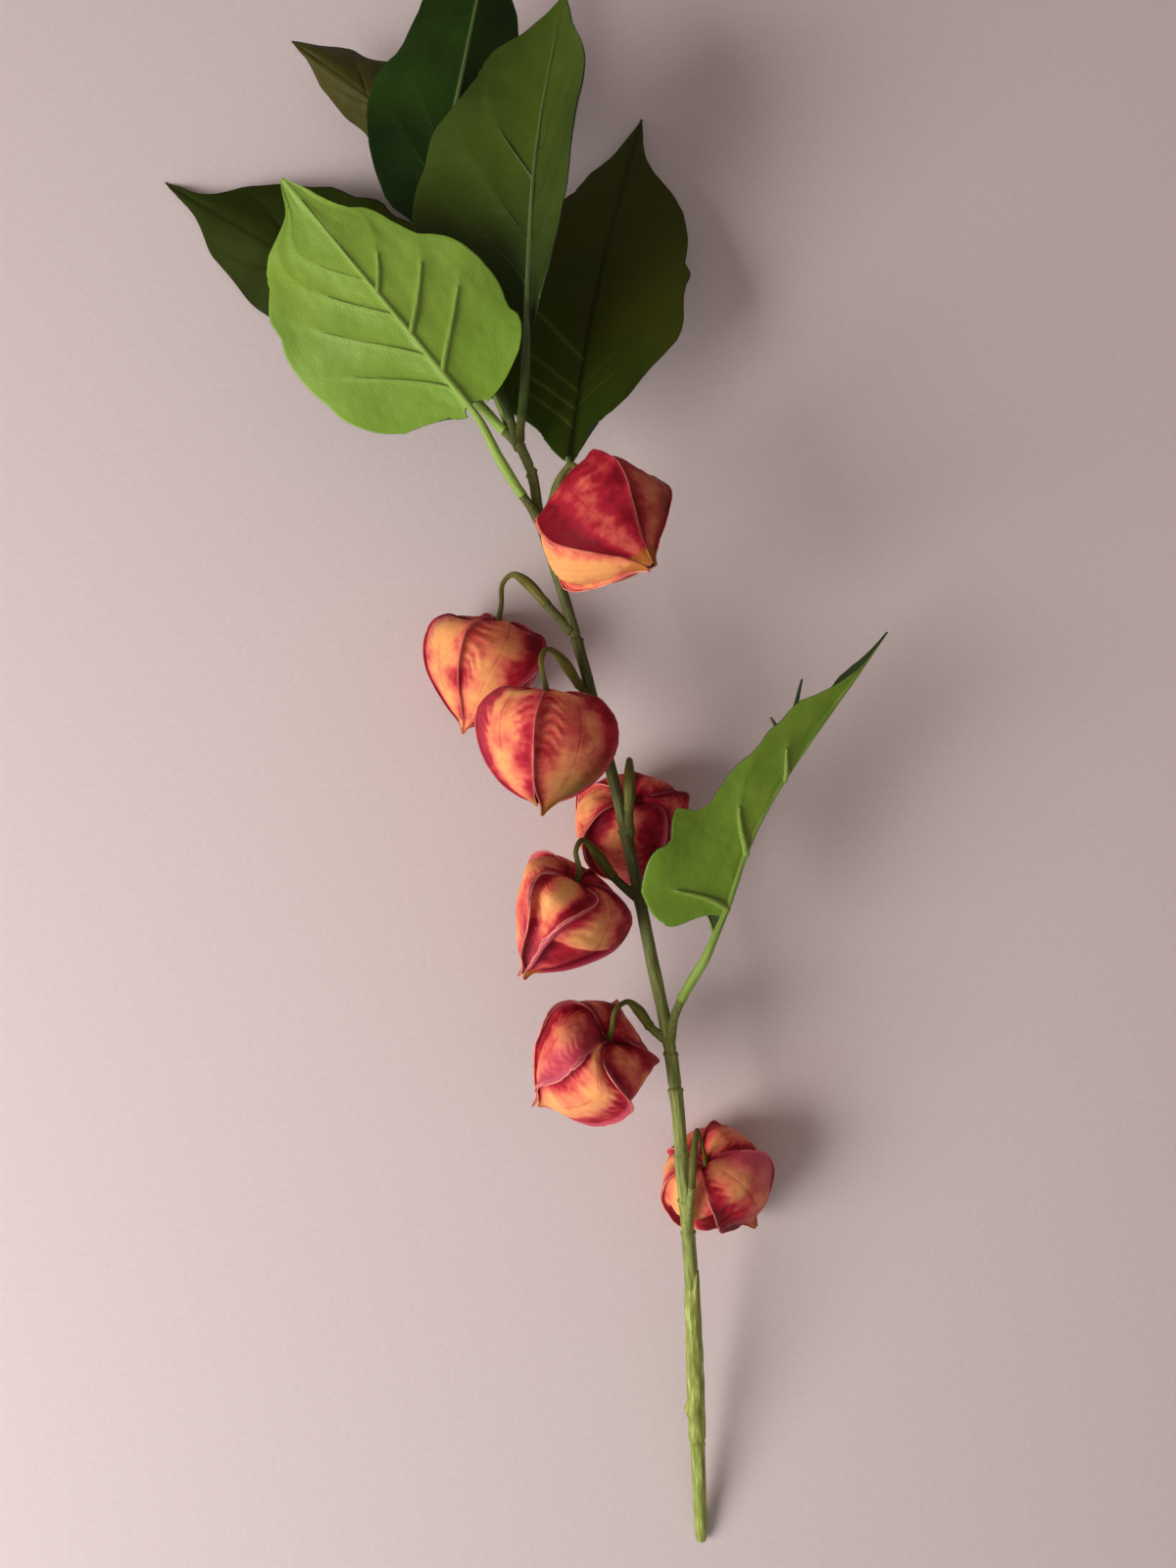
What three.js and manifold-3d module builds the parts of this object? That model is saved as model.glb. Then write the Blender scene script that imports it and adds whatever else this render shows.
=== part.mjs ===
// A cut artificial stem of chinese lanterns, lying on a flat surface.
//
// Three moulded stem sections plug into each other. Seven five-petalled lanterns hang from hooked
// stalks, and seven leaves sit on moulded skeletons (petiole, midrib and side ribs). Every stalk and
// petiole ends in a sleeve that is pushed over a peg on one of the stem's branch stubs.
//
// Millimetres. +Z is up, +Y runs from the cut foot to the leafy top. Routes are written in the
// drawing frame, whose floor is z = 0; the finished group is then moved so that its origin lies at
// the centre of the footprint, on the floor.

import * as THREE from "three";
import { mergeVertices } from "three/addons/utils/BufferGeometryUtils.js";
import Module from "manifold-3d";

const solids = await Module();
solids.setup();

// ---- Driving dimensions --------------------------------------------------------------------

const SEAM_GAP = 0.3; // clearance between pieces that touch
const WELD = 1e-3; // corners closer than this are one corner
const BAR_OVERRUN = 1; // pegs and socket cutters start this far behind the face they stand on
const SLIVER = 0.02; // facets flatter than this against their neighbours are merged

// Stem: distances are measured along the stem from the cut foot.
const FOOT_LENGTH = 49;
const MIDDLE_LENGTH = 74;
const FOOT_RADIUS = { end: 2.1, taper: 2.8, top: 3.15 };
const MIDDLE_RADIUS = { bottom: 3.3, swell: 3.65, top: 3.0 };
const UPPER_RADIUS = { bottom: 2.65, top: 1.9 };
const COLLARS_AT = [143, 156, 175, 200, 214, 275, 300, 373, 436];
const COLLAR_WIDTH = 1.4;
const COLLAR_RISE = 0.45;
const STEM_PEG = { radius: 1.3, length: 7 };
const STEM_SIDES = 8;
const STEM_STEPS = { foot: 6, middle: 8, upper: 26 };
const FOOT_TAPER = 0.2; // share of the foot over which its end tapers
const MIDDLE_SWELL = 0.3; // share of the middle section at which it is thickest
const FLOOR_BLOCK = { width: 900, height: 300 };

// Branch stubs, and the pegs that hold the stalks and petioles.
const STUB_RADIUS = { root: 1.9, end: 1.55 };
const PEG = { radius: 0.75, length: 4 };
const SOCKET_CLEARANCE = 0.3;
const BRANCH_SIDES = 5;
const STUB_STEPS = 2;
const STALK_STEPS = 16;
const PETIOLE_STEPS = 20;

// Lantern stalks and leaf petioles, from sleeve to end.
const STALK_RADIUS = { sleeve: 1.75, swell: 2.1, arch: 0.95, end: 1.2 };
const STALK_PLACES = { swell: 0.2, arch: 0.5, flare: 0.75 }; // shares of the stalk's length
const STALK_SEAT = 0.6; // the stalk ends this far above the lantern's recess
const PETIOLE_RADIUS = { sleeve: 1.7, swell: 1.9, neck: 1.15 };
const PETIOLE_SWELL = 0.06; // share of the petiole and midrib at which the swelling is thickest

// Lanterns. The outline runs from the recess at the stalk to the tip, as radius and height; both
// are multiples of the lantern's own radius and of its axial scale.
const LANTERN_OUTLINE = [
  [0, 0.48], [0.13, 0.51], [0.34, 0.64], [0.68, 0.62], [0.95, 0.36],
  [1, 0.02], [0.91, -0.36], [0.69, -0.7], [0.34, -1], [0, -1.2],
];
const LANTERN_RINGS = 9;
const RECESS_HEIGHT = 0.48;
const TIP_HEIGHT = -1.2;
const PETAL_STEPS = [0, 0.07, 0.28, 0.5, 0.72, 0.93]; // across a petal, from seam to seam
const PETAL_CROWN = 0.42; // 0 is a flat petal between its seams, 1 a round one
const SEAM_RISE = 1.3; // the joined petal edges stand up along each seam
const PINCH = { from: 0.2, to: 0.9 }; // heights below the belly between which a tip draws in
const PETAL_TIP = { root: 1.5, end: 0.4, length: 5, inset: 0.6, spread: 1.6, above: 0.14, sides: 5 };
const TIPS_ON_SEAMS = [0, 2, 3];

// Leaves.
const BLADE_THICKNESS = 0.7;
const BLADE_STEPS = { along: 10, across: 6 };
const BASE_CROWDING = 1.4; // above 1, the blade's rows lie closer together towards its base
const OUTLINE_ENDS = [0.0006, 0.994]; // the blunt ends of the outline
const SCALLOPS = { depth: 0.03, frequency: 31, skew: 2 };
const WAVES = { frequency: 13, phase: 1.2 };
const LOBE_FALLOFF = 4; // the power with which a base lobe fades along the leaf
const DRIP_TIP = { from: 0.76, to: 0.9, narrowing: 0.5 };
const FOLD_RADIUS = 3; // how softly the two halves meet along the midrib
const MIDRIB_RADIUS = { base: 1.15, tip: 0.4 };
const MIDRIB_REACH = 0.9;
const BASE_LIFT = 0.5; // extra room under the midrib where the blade turns in to its base
const BASE_LIFT_ENDS = 0.2; // share of the midrib at which that room has gone
const MIDRIB_PLACES = [0.03, 0.1, 0.2, 0.32, 0.46, 0.6, 0.75];
const NORMAL_STEP = 1e-3;
const SIDE_RIB_RADIUS = { base: 0.75, tip: 0.35 };
const SIDE_RIB_SIDES = 4;
const SIDE_RIB_STEPS = 2;
const FOLDED_BACK = 90; // a half at a steeper angle than this has no side ribs
const SIDE_RIBS = [
  { side: -1, from: 0.1, to: 0.33, reach: 0.63 },
  { side: 1, from: 0.15, to: 0.35, reach: 0.6 },
  { side: -1, from: 0.23, to: 0.49, reach: 0.57 },
  { side: 1, from: 0.32, to: 0.5, reach: 0.52 },
  { side: -1, from: 0.4, to: 0.61, reach: 0.42 },
  { side: 1, from: 0.5, to: 0.62, reach: 0.36 },
];

// ---- Routes and places ---------------------------------------------------------------------

const STEM_ROUTE = [
  [46.5, -309, 1.9], [44.5, -276, 11.5], [43, -249, 19], [41, -209.5, 29.5], [39, -180.5, 37],
  [36, -148.5, 43.5], [33, -115.5, 47], [30, -95, 48.5], [24, -66, 49.5], [16.5, -29.5, 50.5],
  [8, 7.5, 52], [-3.5, 51, 54], [-11, 76, 56], [-18, 99, 58], [-20.5, 113.5, 59], [-26, 126.5, 60],
];

// Each lantern: its stalk's route from inside the stem, how far along it the stub ends, the recess
// where the stalk ends, the tip, the radius, how far the belly stands off the line between recess
// and tip, how much narrower than usual it draws in to the tip, and the turn of its five seams
// about that line, in degrees from the side facing up.
const LANTERNS = [
  {
    route: [[-17, 93.5, 57.5], [-14, 100.5, 60], [-11.8, 105.6, 63], [-9.6, 110.8, 67],
      [-6.3, 114.4, 71], [-3.2, 111.6, 73.5], [-1.8, 102.5, 71.5]],
    stub: 8, base: [1, 98, 74], tip: [22, 74, 96], radius: 23.8, belly: [-2.8, 2, 0],
    pinch: 0, seams: [-42, 30, 102, 174, 246],
  },
  {
    route: [[-6, 56.5, 54.5], [-12.5, 63.5, 54], [-16, 67.5, 53], [-22, 74.5, 50],
      [-28.5, 79.5, 42], [-33.2, 77, 33], [-33.9, 70.5, 26.8]],
    stub: 14, base: [-36, 60.5, 22.8], tip: [-50, 20.5, 16.3], radius: 24.2, belly: [0, 0, 0],
    pinch: 0, seams: [-12, 60, 132, 204, 276],
  },
  {
    route: [[2.5, 28.5, 53], [-1, 34, 54], [-3.5, 37, 55.5], [-10, 46, 62],
      [-14.5, 48.5, 69], [-16.8, 44.5, 73.5], [-15.2, 35.5, 74.5]],
    stub: 10, base: [-14, 29, 73.5], tip: [-17.5, -10, 70], radius: 24, belly: [0.8, 0, 0],
    pinch: 0, seams: [-8, 64, 136, 208, 280],
  },
  {
    route: [[15.5, -19, 50.5], [15.2, -12.5, 54], [15.2, -9, 56], [15.2, 1, 56.5],
      [15.5, 9, 50], [16.8, 4.5, 40], [17.6, -2.5, 33.5]],
    stub: 11, base: [17.5, -7.5, 29.8], tip: [17, -39, 4.3], radius: 22.8, belly: [0, 0, 0],
    pinch: 0, seams: [-40, 34, 106, 178, 250],
  },
  {
    route: [[18.5, -42, 50], [13, -38, 50.5], [9, -34, 51.5], [3, -25.5, 55],
      [-2, -20.5, 60], [-4.4, -24.5, 64.3], [-3.1, -31.5, 64.4]],
    stub: 12, base: [-4.5, -36.5, 62.5], tip: [-24.5, -72, 50.5], radius: 23, belly: [4, 2, 0],
    pinch: 0.15, seams: [-37, 5, 54, 126, 215],
  },
  {
    route: [[29.5, -95.5, 48.5], [25.5, -93, 48.5], [23, -90.5, 49], [19, -84.5, 52],
      [14.5, -80.5, 56], [10, -83, 60.5], [8.6, -90, 60.5]],
    stub: 8, base: [7, -94.5, 56.5], tip: [-20, -124.5, 34.5], radius: 23, belly: [4.5, 2.5, 0],
    pinch: 0.15, seams: [-45, -5, 72, 140, 235],
  },
  {
    route: [[38, -168, 40], [39.5, -157.5, 45.5], [40.2, -151, 47.5], [41, -140, 48],
      [41.8, -131, 44.5], [42.8, -137, 37.5], [43.3, -144, 31]],
    stub: 18, base: [45, -148.5, 26.8], tip: [65.5, -177, 6.6], radius: 21.5, belly: [0, 1, 0],
    pinch: 0.2, seams: [-28, 35, 105, 195, 260],
  },
];
const RESTING_LANTERNS = [2, 4, 7]; // numbered from the top; each has a small flat where it rests
const RESTING_LEAVES = [2, 6]; // their blades are worn flat where they meet the surface

// Each leaf: its petiole's route from inside the stem to just before the blade, how far along it the
// stub ends, the midrib's base, middle and tip, each half's width, the angle at which it leaves the
// midrib (degrees, up is positive) and its outline's powers at the base and at the tip, the lobe at
// the base, the waving of the edge, and whether the ribs lie on the upper (1) or the lower (-1) face.
const LEAVES = [
  {
    route: [[-17.5, 96.5, 58], [-21, 101.5, 61], [-24.5, 106, 63], [-32, 117.5, 67.5],
      [-38.5, 129.5, 72.5]],
    stub: 12, midrib: [[-42.5, 135, 72.5], [-75, 174, 78], [-107.5, 213, 79]],
    left: { width: 40, angle: -10, outline: [0.5, 0.7] },
    right: { width: 37, angle: -5, outline: [0.25, 0.9] },
    lobe: 3, wave: 1.6, ribs: 1,
  },
  {
    route: [[-25.5, 125, 60], [-28.5, 127.5, 59.2], [-31.5, 130.5, 58], [-38, 138.5, 53],
      [-52, 156, 40.5], [-69, 174.5, 31.8]],
    stub: 7, midrib: [[-76, 178.5, 32], [-118, 209.5, 17.5], [-174, 247, 0.3]],
    left: { width: 31, angle: -34, outline: [0.42, 0.95] },
    right: { width: 39, angle: -6, outline: [0.42, 1.05] },
    lobe: 3, wave: 2, ribs: -1,
  },
  {
    route: [[-25, 123.5, 59.5], [-27.5, 128, 56.5], [-29.5, 133.5, 55.5], [-37, 153, 53.5],
      [-45, 180, 46], [-49, 210, 38], [-51.5, 233.5, 34]],
    stub: 9, midrib: [[-57, 241, 35], [-85.5, 267, 31], [-116, 291, 26]],
    left: { width: 18, angle: -60, outline: [0.42, 0.9] },
    right: { width: 24, angle: -30, outline: [0.42, 0.8] },
    lobe: 0, wave: 1, ribs: -1,
  },
  {
    route: [[-26, 126, 60], [-27.5, 130.5, 60.2], [-29.2, 135.5, 60], [-33.5, 147, 58.5],
      [-44, 175, 54], [-54.5, 199, 52.5]],
    stub: 8, midrib: [[-58.5, 210, 51], [-47.5, 262.5, 51], [-35, 326, 49]],
    left: { width: 34, angle: -14, outline: [0.42, 0.85] },
    right: { width: 32, angle: -40, outline: [0.42, 0.85] },
    lobe: 5, wave: 2, ribs: 1,
  },
  {
    route: [[-25.5, 126, 60], [-24.6, 131, 61.5], [-24, 135.5, 62], [-23, 146, 63],
      [-22.4, 160, 64]],
    stub: 8, midrib: [[-22.3, 168.5, 62], [-18.7, 227, 65], [-9, 286, 64]],
    left: { width: 45, angle: -12, outline: [0.4, 0.75] },
    right: { width: 27, angle: 58, outline: [0.7, 0.45] },
    lobe: 3, wave: 1.8, ribs: 1,
  },
  {
    route: [[-11, 76.5, 56], [-8.6, 82.4, 56.3], [-7.4, 88, 56], [-7, 98, 55.5],
      [-7.5, 110, 55]],
    stub: 8, midrib: [[-7, 122, 54], [2.3, 187, 31], [22, 273, 0.3]],
    left: { width: 38, angle: -6, outline: [0.45, 0.95] },
    right: { width: 36, angle: 8, outline: [1, 1.1] },
    lobe: 3, wave: 2.2, ribs: -1,
  },
  {
    route: [[30.5, -96.5, 48.5], [32, -88, 50], [34.5, -81, 52], [38.5, -72.5, 56],
      [43, -63.5, 61.5], [45.4, -57.5, 63]],
    stub: 14, midrib: [[48.8, -48.5, 62], [62.5, -12.5, 62], [109, 55.5, 62]],
    left: { width: 35, angle: 14, outline: [0.22, 1] },
    right: { width: 34, angle: -145, outline: [0.4, 0.9] },
    lobe: 9, wave: 2, ribs: 1,
  },
];

// ---- Colours -------------------------------------------------------------------------------

const finish = (color, roughness) => () => new THREE.MeshStandardMaterial({
  color, roughness, metalness: 0,
});
const STEM_FINISH = finish(0x55602f, 0.55);
const FOOT_FINISH = finish(0x8fa255, 0.6);
const STALK_FINISH = finish(0x6f7a36, 0.55);
const LANTERN_FINISH = finish(0xd2603f, 0.75);
const BLADE_FINISH = finish(0x47651f, 0.5);
const RIB_FINISH = finish(0x8ba554, 0.5);

// ---- Small helpers -------------------------------------------------------------------------

const point = (place) => new THREE.Vector3(...place);
const mix = THREE.MathUtils.lerp;
const radians = THREE.MathUtils.degToRad;
const smooth = (value, low, high) => THREE.MathUtils.smoothstep(value, low, high);

function weld(geometry) {
  const bare = geometry.clone();
  bare.deleteAttribute("normal");
  bare.deleteAttribute("uv");
  return mergeVertices(bare, WELD);
}

function toSolid(geometry) {
  const welded = weld(geometry);
  return new solids.Manifold(new solids.Mesh({
    numProp: 3,
    vertProperties: new Float32Array(welded.attributes.position.array),
    triVerts: new Uint32Array(welded.index.array),
  }));
}

function toGeometry(solid) {
  const mesh = cleaned(solid).getMesh();
  const geometry = new THREE.BufferGeometry();
  geometry.setAttribute("position", new THREE.BufferAttribute(mesh.vertProperties, 3));
  geometry.setIndex(new THREE.BufferAttribute(mesh.triVerts, 1));
  return geometry;
}

function join(pieces) {
  return pieces.map(toSolid).reduce((whole, piece) => whole.add(piece));
}

// The largest body of a cut solid, without slivers or loose scraps.
function cleaned(solid) {
  const bodies = solid.asOriginal().simplify(SLIVER).decompose();
  return bodies.reduce((best, body) => (body.volume() > best.volume() ? body : best));
}

function named(name, geometry, material) {
  const mesh = new THREE.Mesh(geometry, material());
  mesh.name = name;
  return mesh;
}

// A closed tube along part of a curve; radiusAt takes the share of that part, from 0 to 1.
function taperedTube(curve, radiusAt, sides, steps, from = 0, to = 1) {
  const tube = new THREE.CylinderGeometry(1, 1, 1, sides, steps);
  const frames = [];
  let across = null;
  for (let i = 0; i <= steps; i += 1) {
    const share = mix(from, to, i / steps);
    const along = curve.getTangentAt(share);
    across = across ?? new THREE.Vector3(0, 0, 1).cross(along).normalize();
    across = across.clone().addScaledVector(along, -across.dot(along)).normalize();
    frames.push({ centre: curve.getPointAt(share), across, third: across.clone().cross(along) });
  }
  const position = tube.attributes.position;
  const corner = new THREE.Vector3();
  for (let i = 0; i < position.count; i += 1) {
    corner.fromBufferAttribute(position, i);
    const share = corner.y + 0.5;
    const { centre, across: x, third: z } = frames[Math.round(share * steps)];
    const radius = radiusAt(share);
    const placed = centre.clone()
      .addScaledVector(x, corner.x * radius)
      .addScaledVector(z, corner.z * radius);
    position.setXYZ(i, placed.x, placed.y, placed.z);
  }
  return tube;
}

// A straight round bar that reaches out from a place on a curve, along the curve's direction there
// (or against it). It starts a little behind that place, so that it joins or cuts cleanly.
function barFrom(curve, share, radius, length, sides, direction = 1) {
  const place = curve.getPointAt(share);
  const along = curve.getTangentAt(share).multiplyScalar(direction);
  const start = place.clone().addScaledVector(along, -BAR_OVERRUN);
  const end = place.clone().addScaledVector(along, length);
  return taperedTube(new THREE.LineCurve3(start, end), () => radius, sides, 1);
}

// ---- Stem ----------------------------------------------------------------------------------

const stemCurve = new THREE.CatmullRomCurve3(STEM_ROUTE.map(point), false, "centripetal");
const stemLength = stemCurve.getLength();
const stemShare = (distance) => distance / stemLength;

// All the space above the floor, to trim what rests on it.
function floorBlock() {
  const { width, height } = FLOOR_BLOCK;
  return toSolid(new THREE.BoxGeometry(width, width, height).translate(0, 0, height / 2));
}

function footRadius(share) {
  const { end, taper, top } = FOOT_RADIUS;
  if (share < FOOT_TAPER) return mix(end, taper, share / FOOT_TAPER);
  return mix(taper, top, (share - FOOT_TAPER) / (1 - FOOT_TAPER));
}

function middleRadius(share) {
  const { bottom, swell, top } = MIDDLE_RADIUS;
  if (share < MIDDLE_SWELL) return mix(bottom, swell, share / MIDDLE_SWELL);
  return mix(swell, top, (share - MIDDLE_SWELL) / (1 - MIDDLE_SWELL));
}

const upperRadius = (share) => mix(UPPER_RADIUS.bottom, UPPER_RADIUS.top, share);

function stemFoot() {
  const top = stemShare(FOOT_LENGTH - SEAM_GAP / 2);
  const body = taperedTube(stemCurve, footRadius, STEM_SIDES, STEM_STEPS.foot, 0, top);
  const peg = barFrom(stemCurve, top, STEM_PEG.radius, STEM_PEG.length, STEM_SIDES);
  return join([body, peg]).intersect(floorBlock());
}

function stemMiddle() {
  const bottom = stemShare(FOOT_LENGTH + SEAM_GAP / 2);
  const top = stemShare(FOOT_LENGTH + MIDDLE_LENGTH - SEAM_GAP / 2);
  const steps = STEM_STEPS.middle;
  const body = toSolid(taperedTube(stemCurve, middleRadius, STEM_SIDES, steps, bottom, top));
  const bore = STEM_PEG.radius + SOCKET_CLEARANCE;
  const depth = STEM_PEG.length + SOCKET_CLEARANCE;
  const lowerSocket = barFrom(stemCurve, bottom, bore, depth, STEM_SIDES);
  const upperSocket = barFrom(stemCurve, top, bore, depth, STEM_SIDES, -1);
  return body.subtract(toSolid(lowerSocket)).subtract(toSolid(upperSocket));
}

function collar(distance) {
  const start = stemShare(distance - COLLAR_WIDTH / 2);
  const end = stemShare(distance + COLLAR_WIDTH / 2);
  const upperStart = stemShare(FOOT_LENGTH + MIDDLE_LENGTH);
  const radius = upperRadius((start - upperStart) / (1 - upperStart)) + COLLAR_RISE;
  return taperedTube(stemCurve, () => radius, STEM_SIDES, 1, start, end);
}

function stubPieces({ curve, stub }) {
  const share = stub / curve.getLength();
  const radiusAt = (along) => mix(STUB_RADIUS.root, STUB_RADIUS.end, along);
  return [
    taperedTube(curve, radiusAt, BRANCH_SIDES, STUB_STEPS, 0, share),
    barFrom(curve, share, PEG.radius, PEG.length, BRANCH_SIDES),
  ];
}

function stemUpper(branches) {
  const bottom = stemShare(FOOT_LENGTH + MIDDLE_LENGTH + SEAM_GAP / 2);
  return join([
    taperedTube(stemCurve, upperRadius, STEM_SIDES, STEM_STEPS.upper, bottom, 1),
    barFrom(stemCurve, bottom, STEM_PEG.radius, STEM_PEG.length, STEM_SIDES, -1),
    ...COLLARS_AT.map(collar),
    ...branches.flatMap(stubPieces),
  ]);
}

// A stalk or petiole from its sleeve onwards, with the socket for its stub's peg cut in.
function sleeved(curve, stub, radiusAt, steps, extras = []) {
  const length = curve.getLength();
  const start = (stub + SEAM_GAP) / length;
  const bore = PEG.radius + SOCKET_CLEARANCE;
  const socket = barFrom(curve, start, bore, PEG.length, BRANCH_SIDES);
  const tube = taperedTube(curve, radiusAt, BRANCH_SIDES, steps, start, 1);
  return join([tube, ...extras]).subtract(toSolid(socket));
}

// ---- Lanterns ------------------------------------------------------------------------------

// Directions about a lantern: down its axis, up towards the viewer's side, and to its right.
function lanternFrame({ base, tip }) {
  const axis = point(tip).sub(point(base));
  const length = axis.length();
  axis.normalize();
  const upward = new THREE.Vector3(0, 0, 1);
  upward.addScaledVector(axis, -axis.z).normalize();
  const right = upward.clone().cross(axis);
  return { axis, upward, right, scale: length / (RECESS_HEIGHT - TIP_HEIGHT) };
}

// How far a petal lies inside the round through its two seams, at a share of its width.
function petalRadius(share, span) {
  const half = radians(span) / 2;
  const flat = Math.cos(half) / Math.cos(half * (2 * share - 1));
  return mix(flat, 1, PETAL_CROWN);
}

function lanternPlace(lantern, frame, turn, radius, height) {
  const { axis, upward, right, scale } = frame;
  const down = RECESS_HEIGHT - height;
  const centre = (RECESS_HEIGHT + TIP_HEIGHT) / 2;
  const middle = 1 - ((height - centre) / (RECESS_HEIGHT - centre)) ** 2;
  return point(lantern.base)
    .addScaledVector(axis, down * scale)
    .addScaledVector(point(lantern.belly), middle)
    .addScaledVector(upward, Math.cos(turn) * radius)
    .addScaledVector(right, Math.sin(turn) * radius);
}

function lanternBody(lantern, frame) {
  const perPetal = PETAL_STEPS.length;
  const around = lantern.seams.length * perPetal;
  const body = new THREE.SphereGeometry(1, around, LANTERN_RINGS);
  const outline = new THREE.SplineCurve(LANTERN_OUTLINE.map(([r, h]) => new THREE.Vector2(r, h)));
  const position = body.attributes.position;
  for (let i = 0; i < position.count; i += 1) {
    const ring = Math.floor(i / (around + 1));
    const column = (i % (around + 1)) % around;
    const petal = Math.floor(column / perPetal);
    const start = lantern.seams[petal];
    const next = lantern.seams[petal + 1] ?? lantern.seams[0] + 360;
    const share = PETAL_STEPS[column % perPetal];
    const { x: width, y: height } = outline.getPoint(ring / LANTERN_RINGS);
    const rise = share === 0 ? SEAM_RISE * Math.sin(Math.PI * ring / LANTERN_RINGS) : 0;
    const pinch = 1 - lantern.pinch * smooth(-height, PINCH.from, PINCH.to);
    const round = Math.max(width, 0) * lantern.radius * petalRadius(share, next - start);
    const radius = round * pinch + rise;
    const turn = radians(mix(start, next, share));
    const placed = lanternPlace(lantern, frame, turn, radius, height);
    position.setXYZ(i, placed.x, placed.y, placed.z);
  }
  return body;
}

// The petals' free tips, which part a little beyond the lantern's own point.
function petalTips(lantern, frame) {
  const height = TIP_HEIGHT + PETAL_TIP.above;
  return TIPS_ON_SEAMS.map((seam) => {
    const turn = radians(lantern.seams[seam]);
    const root = lanternPlace(lantern, frame, turn, PETAL_TIP.inset, height);
    const end = lanternPlace(lantern, frame, turn, PETAL_TIP.spread, height);
    end.addScaledVector(frame.axis, PETAL_TIP.length);
    const radiusAt = (share) => mix(PETAL_TIP.root, PETAL_TIP.end, share);
    return taperedTube(new THREE.LineCurve3(root, end), radiusAt, PETAL_TIP.sides, 1);
  });
}

function lanternSolid(lantern, number) {
  const frame = lanternFrame(lantern);
  const whole = join([lanternBody(lantern, frame), ...petalTips(lantern, frame)]);
  return RESTING_LANTERNS.includes(number) ? whole.intersect(floorBlock()) : whole;
}

function stalkCurve(lantern) {
  const { axis } = lanternFrame(lantern);
  const seat = point(lantern.base).addScaledVector(axis, -STALK_SEAT);
  const route = [...lantern.route.map(point), seat];
  return new THREE.CatmullRomCurve3(route, false, "centripetal");
}

function stalkRadius(share) {
  const { sleeve, swell, arch, end } = STALK_RADIUS;
  const places = STALK_PLACES;
  if (share < places.swell) return mix(sleeve, swell, share / places.swell);
  if (share < places.arch) return mix(swell, arch, smooth(share, places.swell, places.arch));
  return mix(arch, end, smooth(share, places.flare, 1));
}

// ---- Leaves --------------------------------------------------------------------------------

// Directions about a leaf: along its midrib, up towards the viewer's side, and to its right.
function leafFrame({ midrib }) {
  const along = point(midrib[2]).sub(point(midrib[0])).normalize();
  const upward = new THREE.Vector3(0, 0, 1);
  upward.addScaledVector(along, -along.z).normalize();
  return { along, upward, right: along.clone().cross(upward) };
}

function halfDirection({ upward, right }, angle, side) {
  return right.clone().multiplyScalar(side * Math.cos(radians(angle)))
    .addScaledVector(upward, Math.sin(radians(angle)));
}

function outlineWidth(share, [base, tip]) {
  const widest = base / (base + tip);
  const peak = widest ** base * (1 - widest) ** tip;
  const drawnIn = 1 - DRIP_TIP.narrowing * smooth(share, DRIP_TIP.from, DRIP_TIP.to);
  return drawnIn * share ** base * (1 - share) ** tip / peak;
}

// How far out a half has reached at a place across; softness rounds its start at the midrib.
function halfReach(across, softness) {
  return (across + Math.hypot(across, softness) - softness) / 2;
}

// A leaf's middle surface: a place for each share along the midrib and across, from -1 to 1.
function leafSurface(leaf) {
  const frame = leafFrame(leaf);
  const spine = new THREE.CatmullRomCurve3(leaf.midrib.map(point));
  const left = halfDirection(frame, leaf.left.angle, -1);
  const right = halfDirection(frame, leaf.right.angle, 1);
  const place = (share, across) => {
    const inside = THREE.MathUtils.clamp(share, ...OUTLINE_ENDS);
    const leftWidth = leaf.left.width * outlineWidth(inside, leaf.left.outline);
    const rightWidth = leaf.right.width * outlineWidth(inside, leaf.right.outline);
    const softness = Math.min(2 * FOLD_RADIUS / (leftWidth + rightWidth), 1);
    const edge = across * across;
    const { depth, frequency, skew } = SCALLOPS;
    const scallop = 1 + depth * Math.sin(share * frequency + across * skew);
    const leftReach = halfReach(-across, softness) * leftWidth * scallop;
    const rightReach = halfReach(across, softness) * rightWidth * scallop;
    const lobe = leaf.lobe * edge * (1 - share) ** LOBE_FALLOFF;
    const fullness = across < 0 ? leftWidth / leaf.left.width : rightWidth / leaf.right.width;
    const swing = Math.sin(share * WAVES.frequency + Math.sign(across) * WAVES.phase);
    const wave = leaf.wave * edge * swing * fullness;
    return spine.getPoint(share)
      .addScaledVector(left, leftReach)
      .addScaledVector(right, rightReach)
      .addScaledVector(frame.along, -lobe)
      .addScaledVector(across < 0 ? left.clone().cross(frame.along).negate()
        : right.clone().cross(frame.along), wave);
  };
  const normal = (share, across) => {
    const high = Math.min(share + NORMAL_STEP, 1);
    const low = Math.max(share - NORMAL_STEP, 0);
    const alongStep = place(high, across).sub(place(low, across));
    const acrossStep = place(share, across + NORMAL_STEP).sub(place(share, across - NORMAL_STEP));
    return acrossStep.cross(alongStep).normalize();
  };
  return { place, normal };
}

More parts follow.
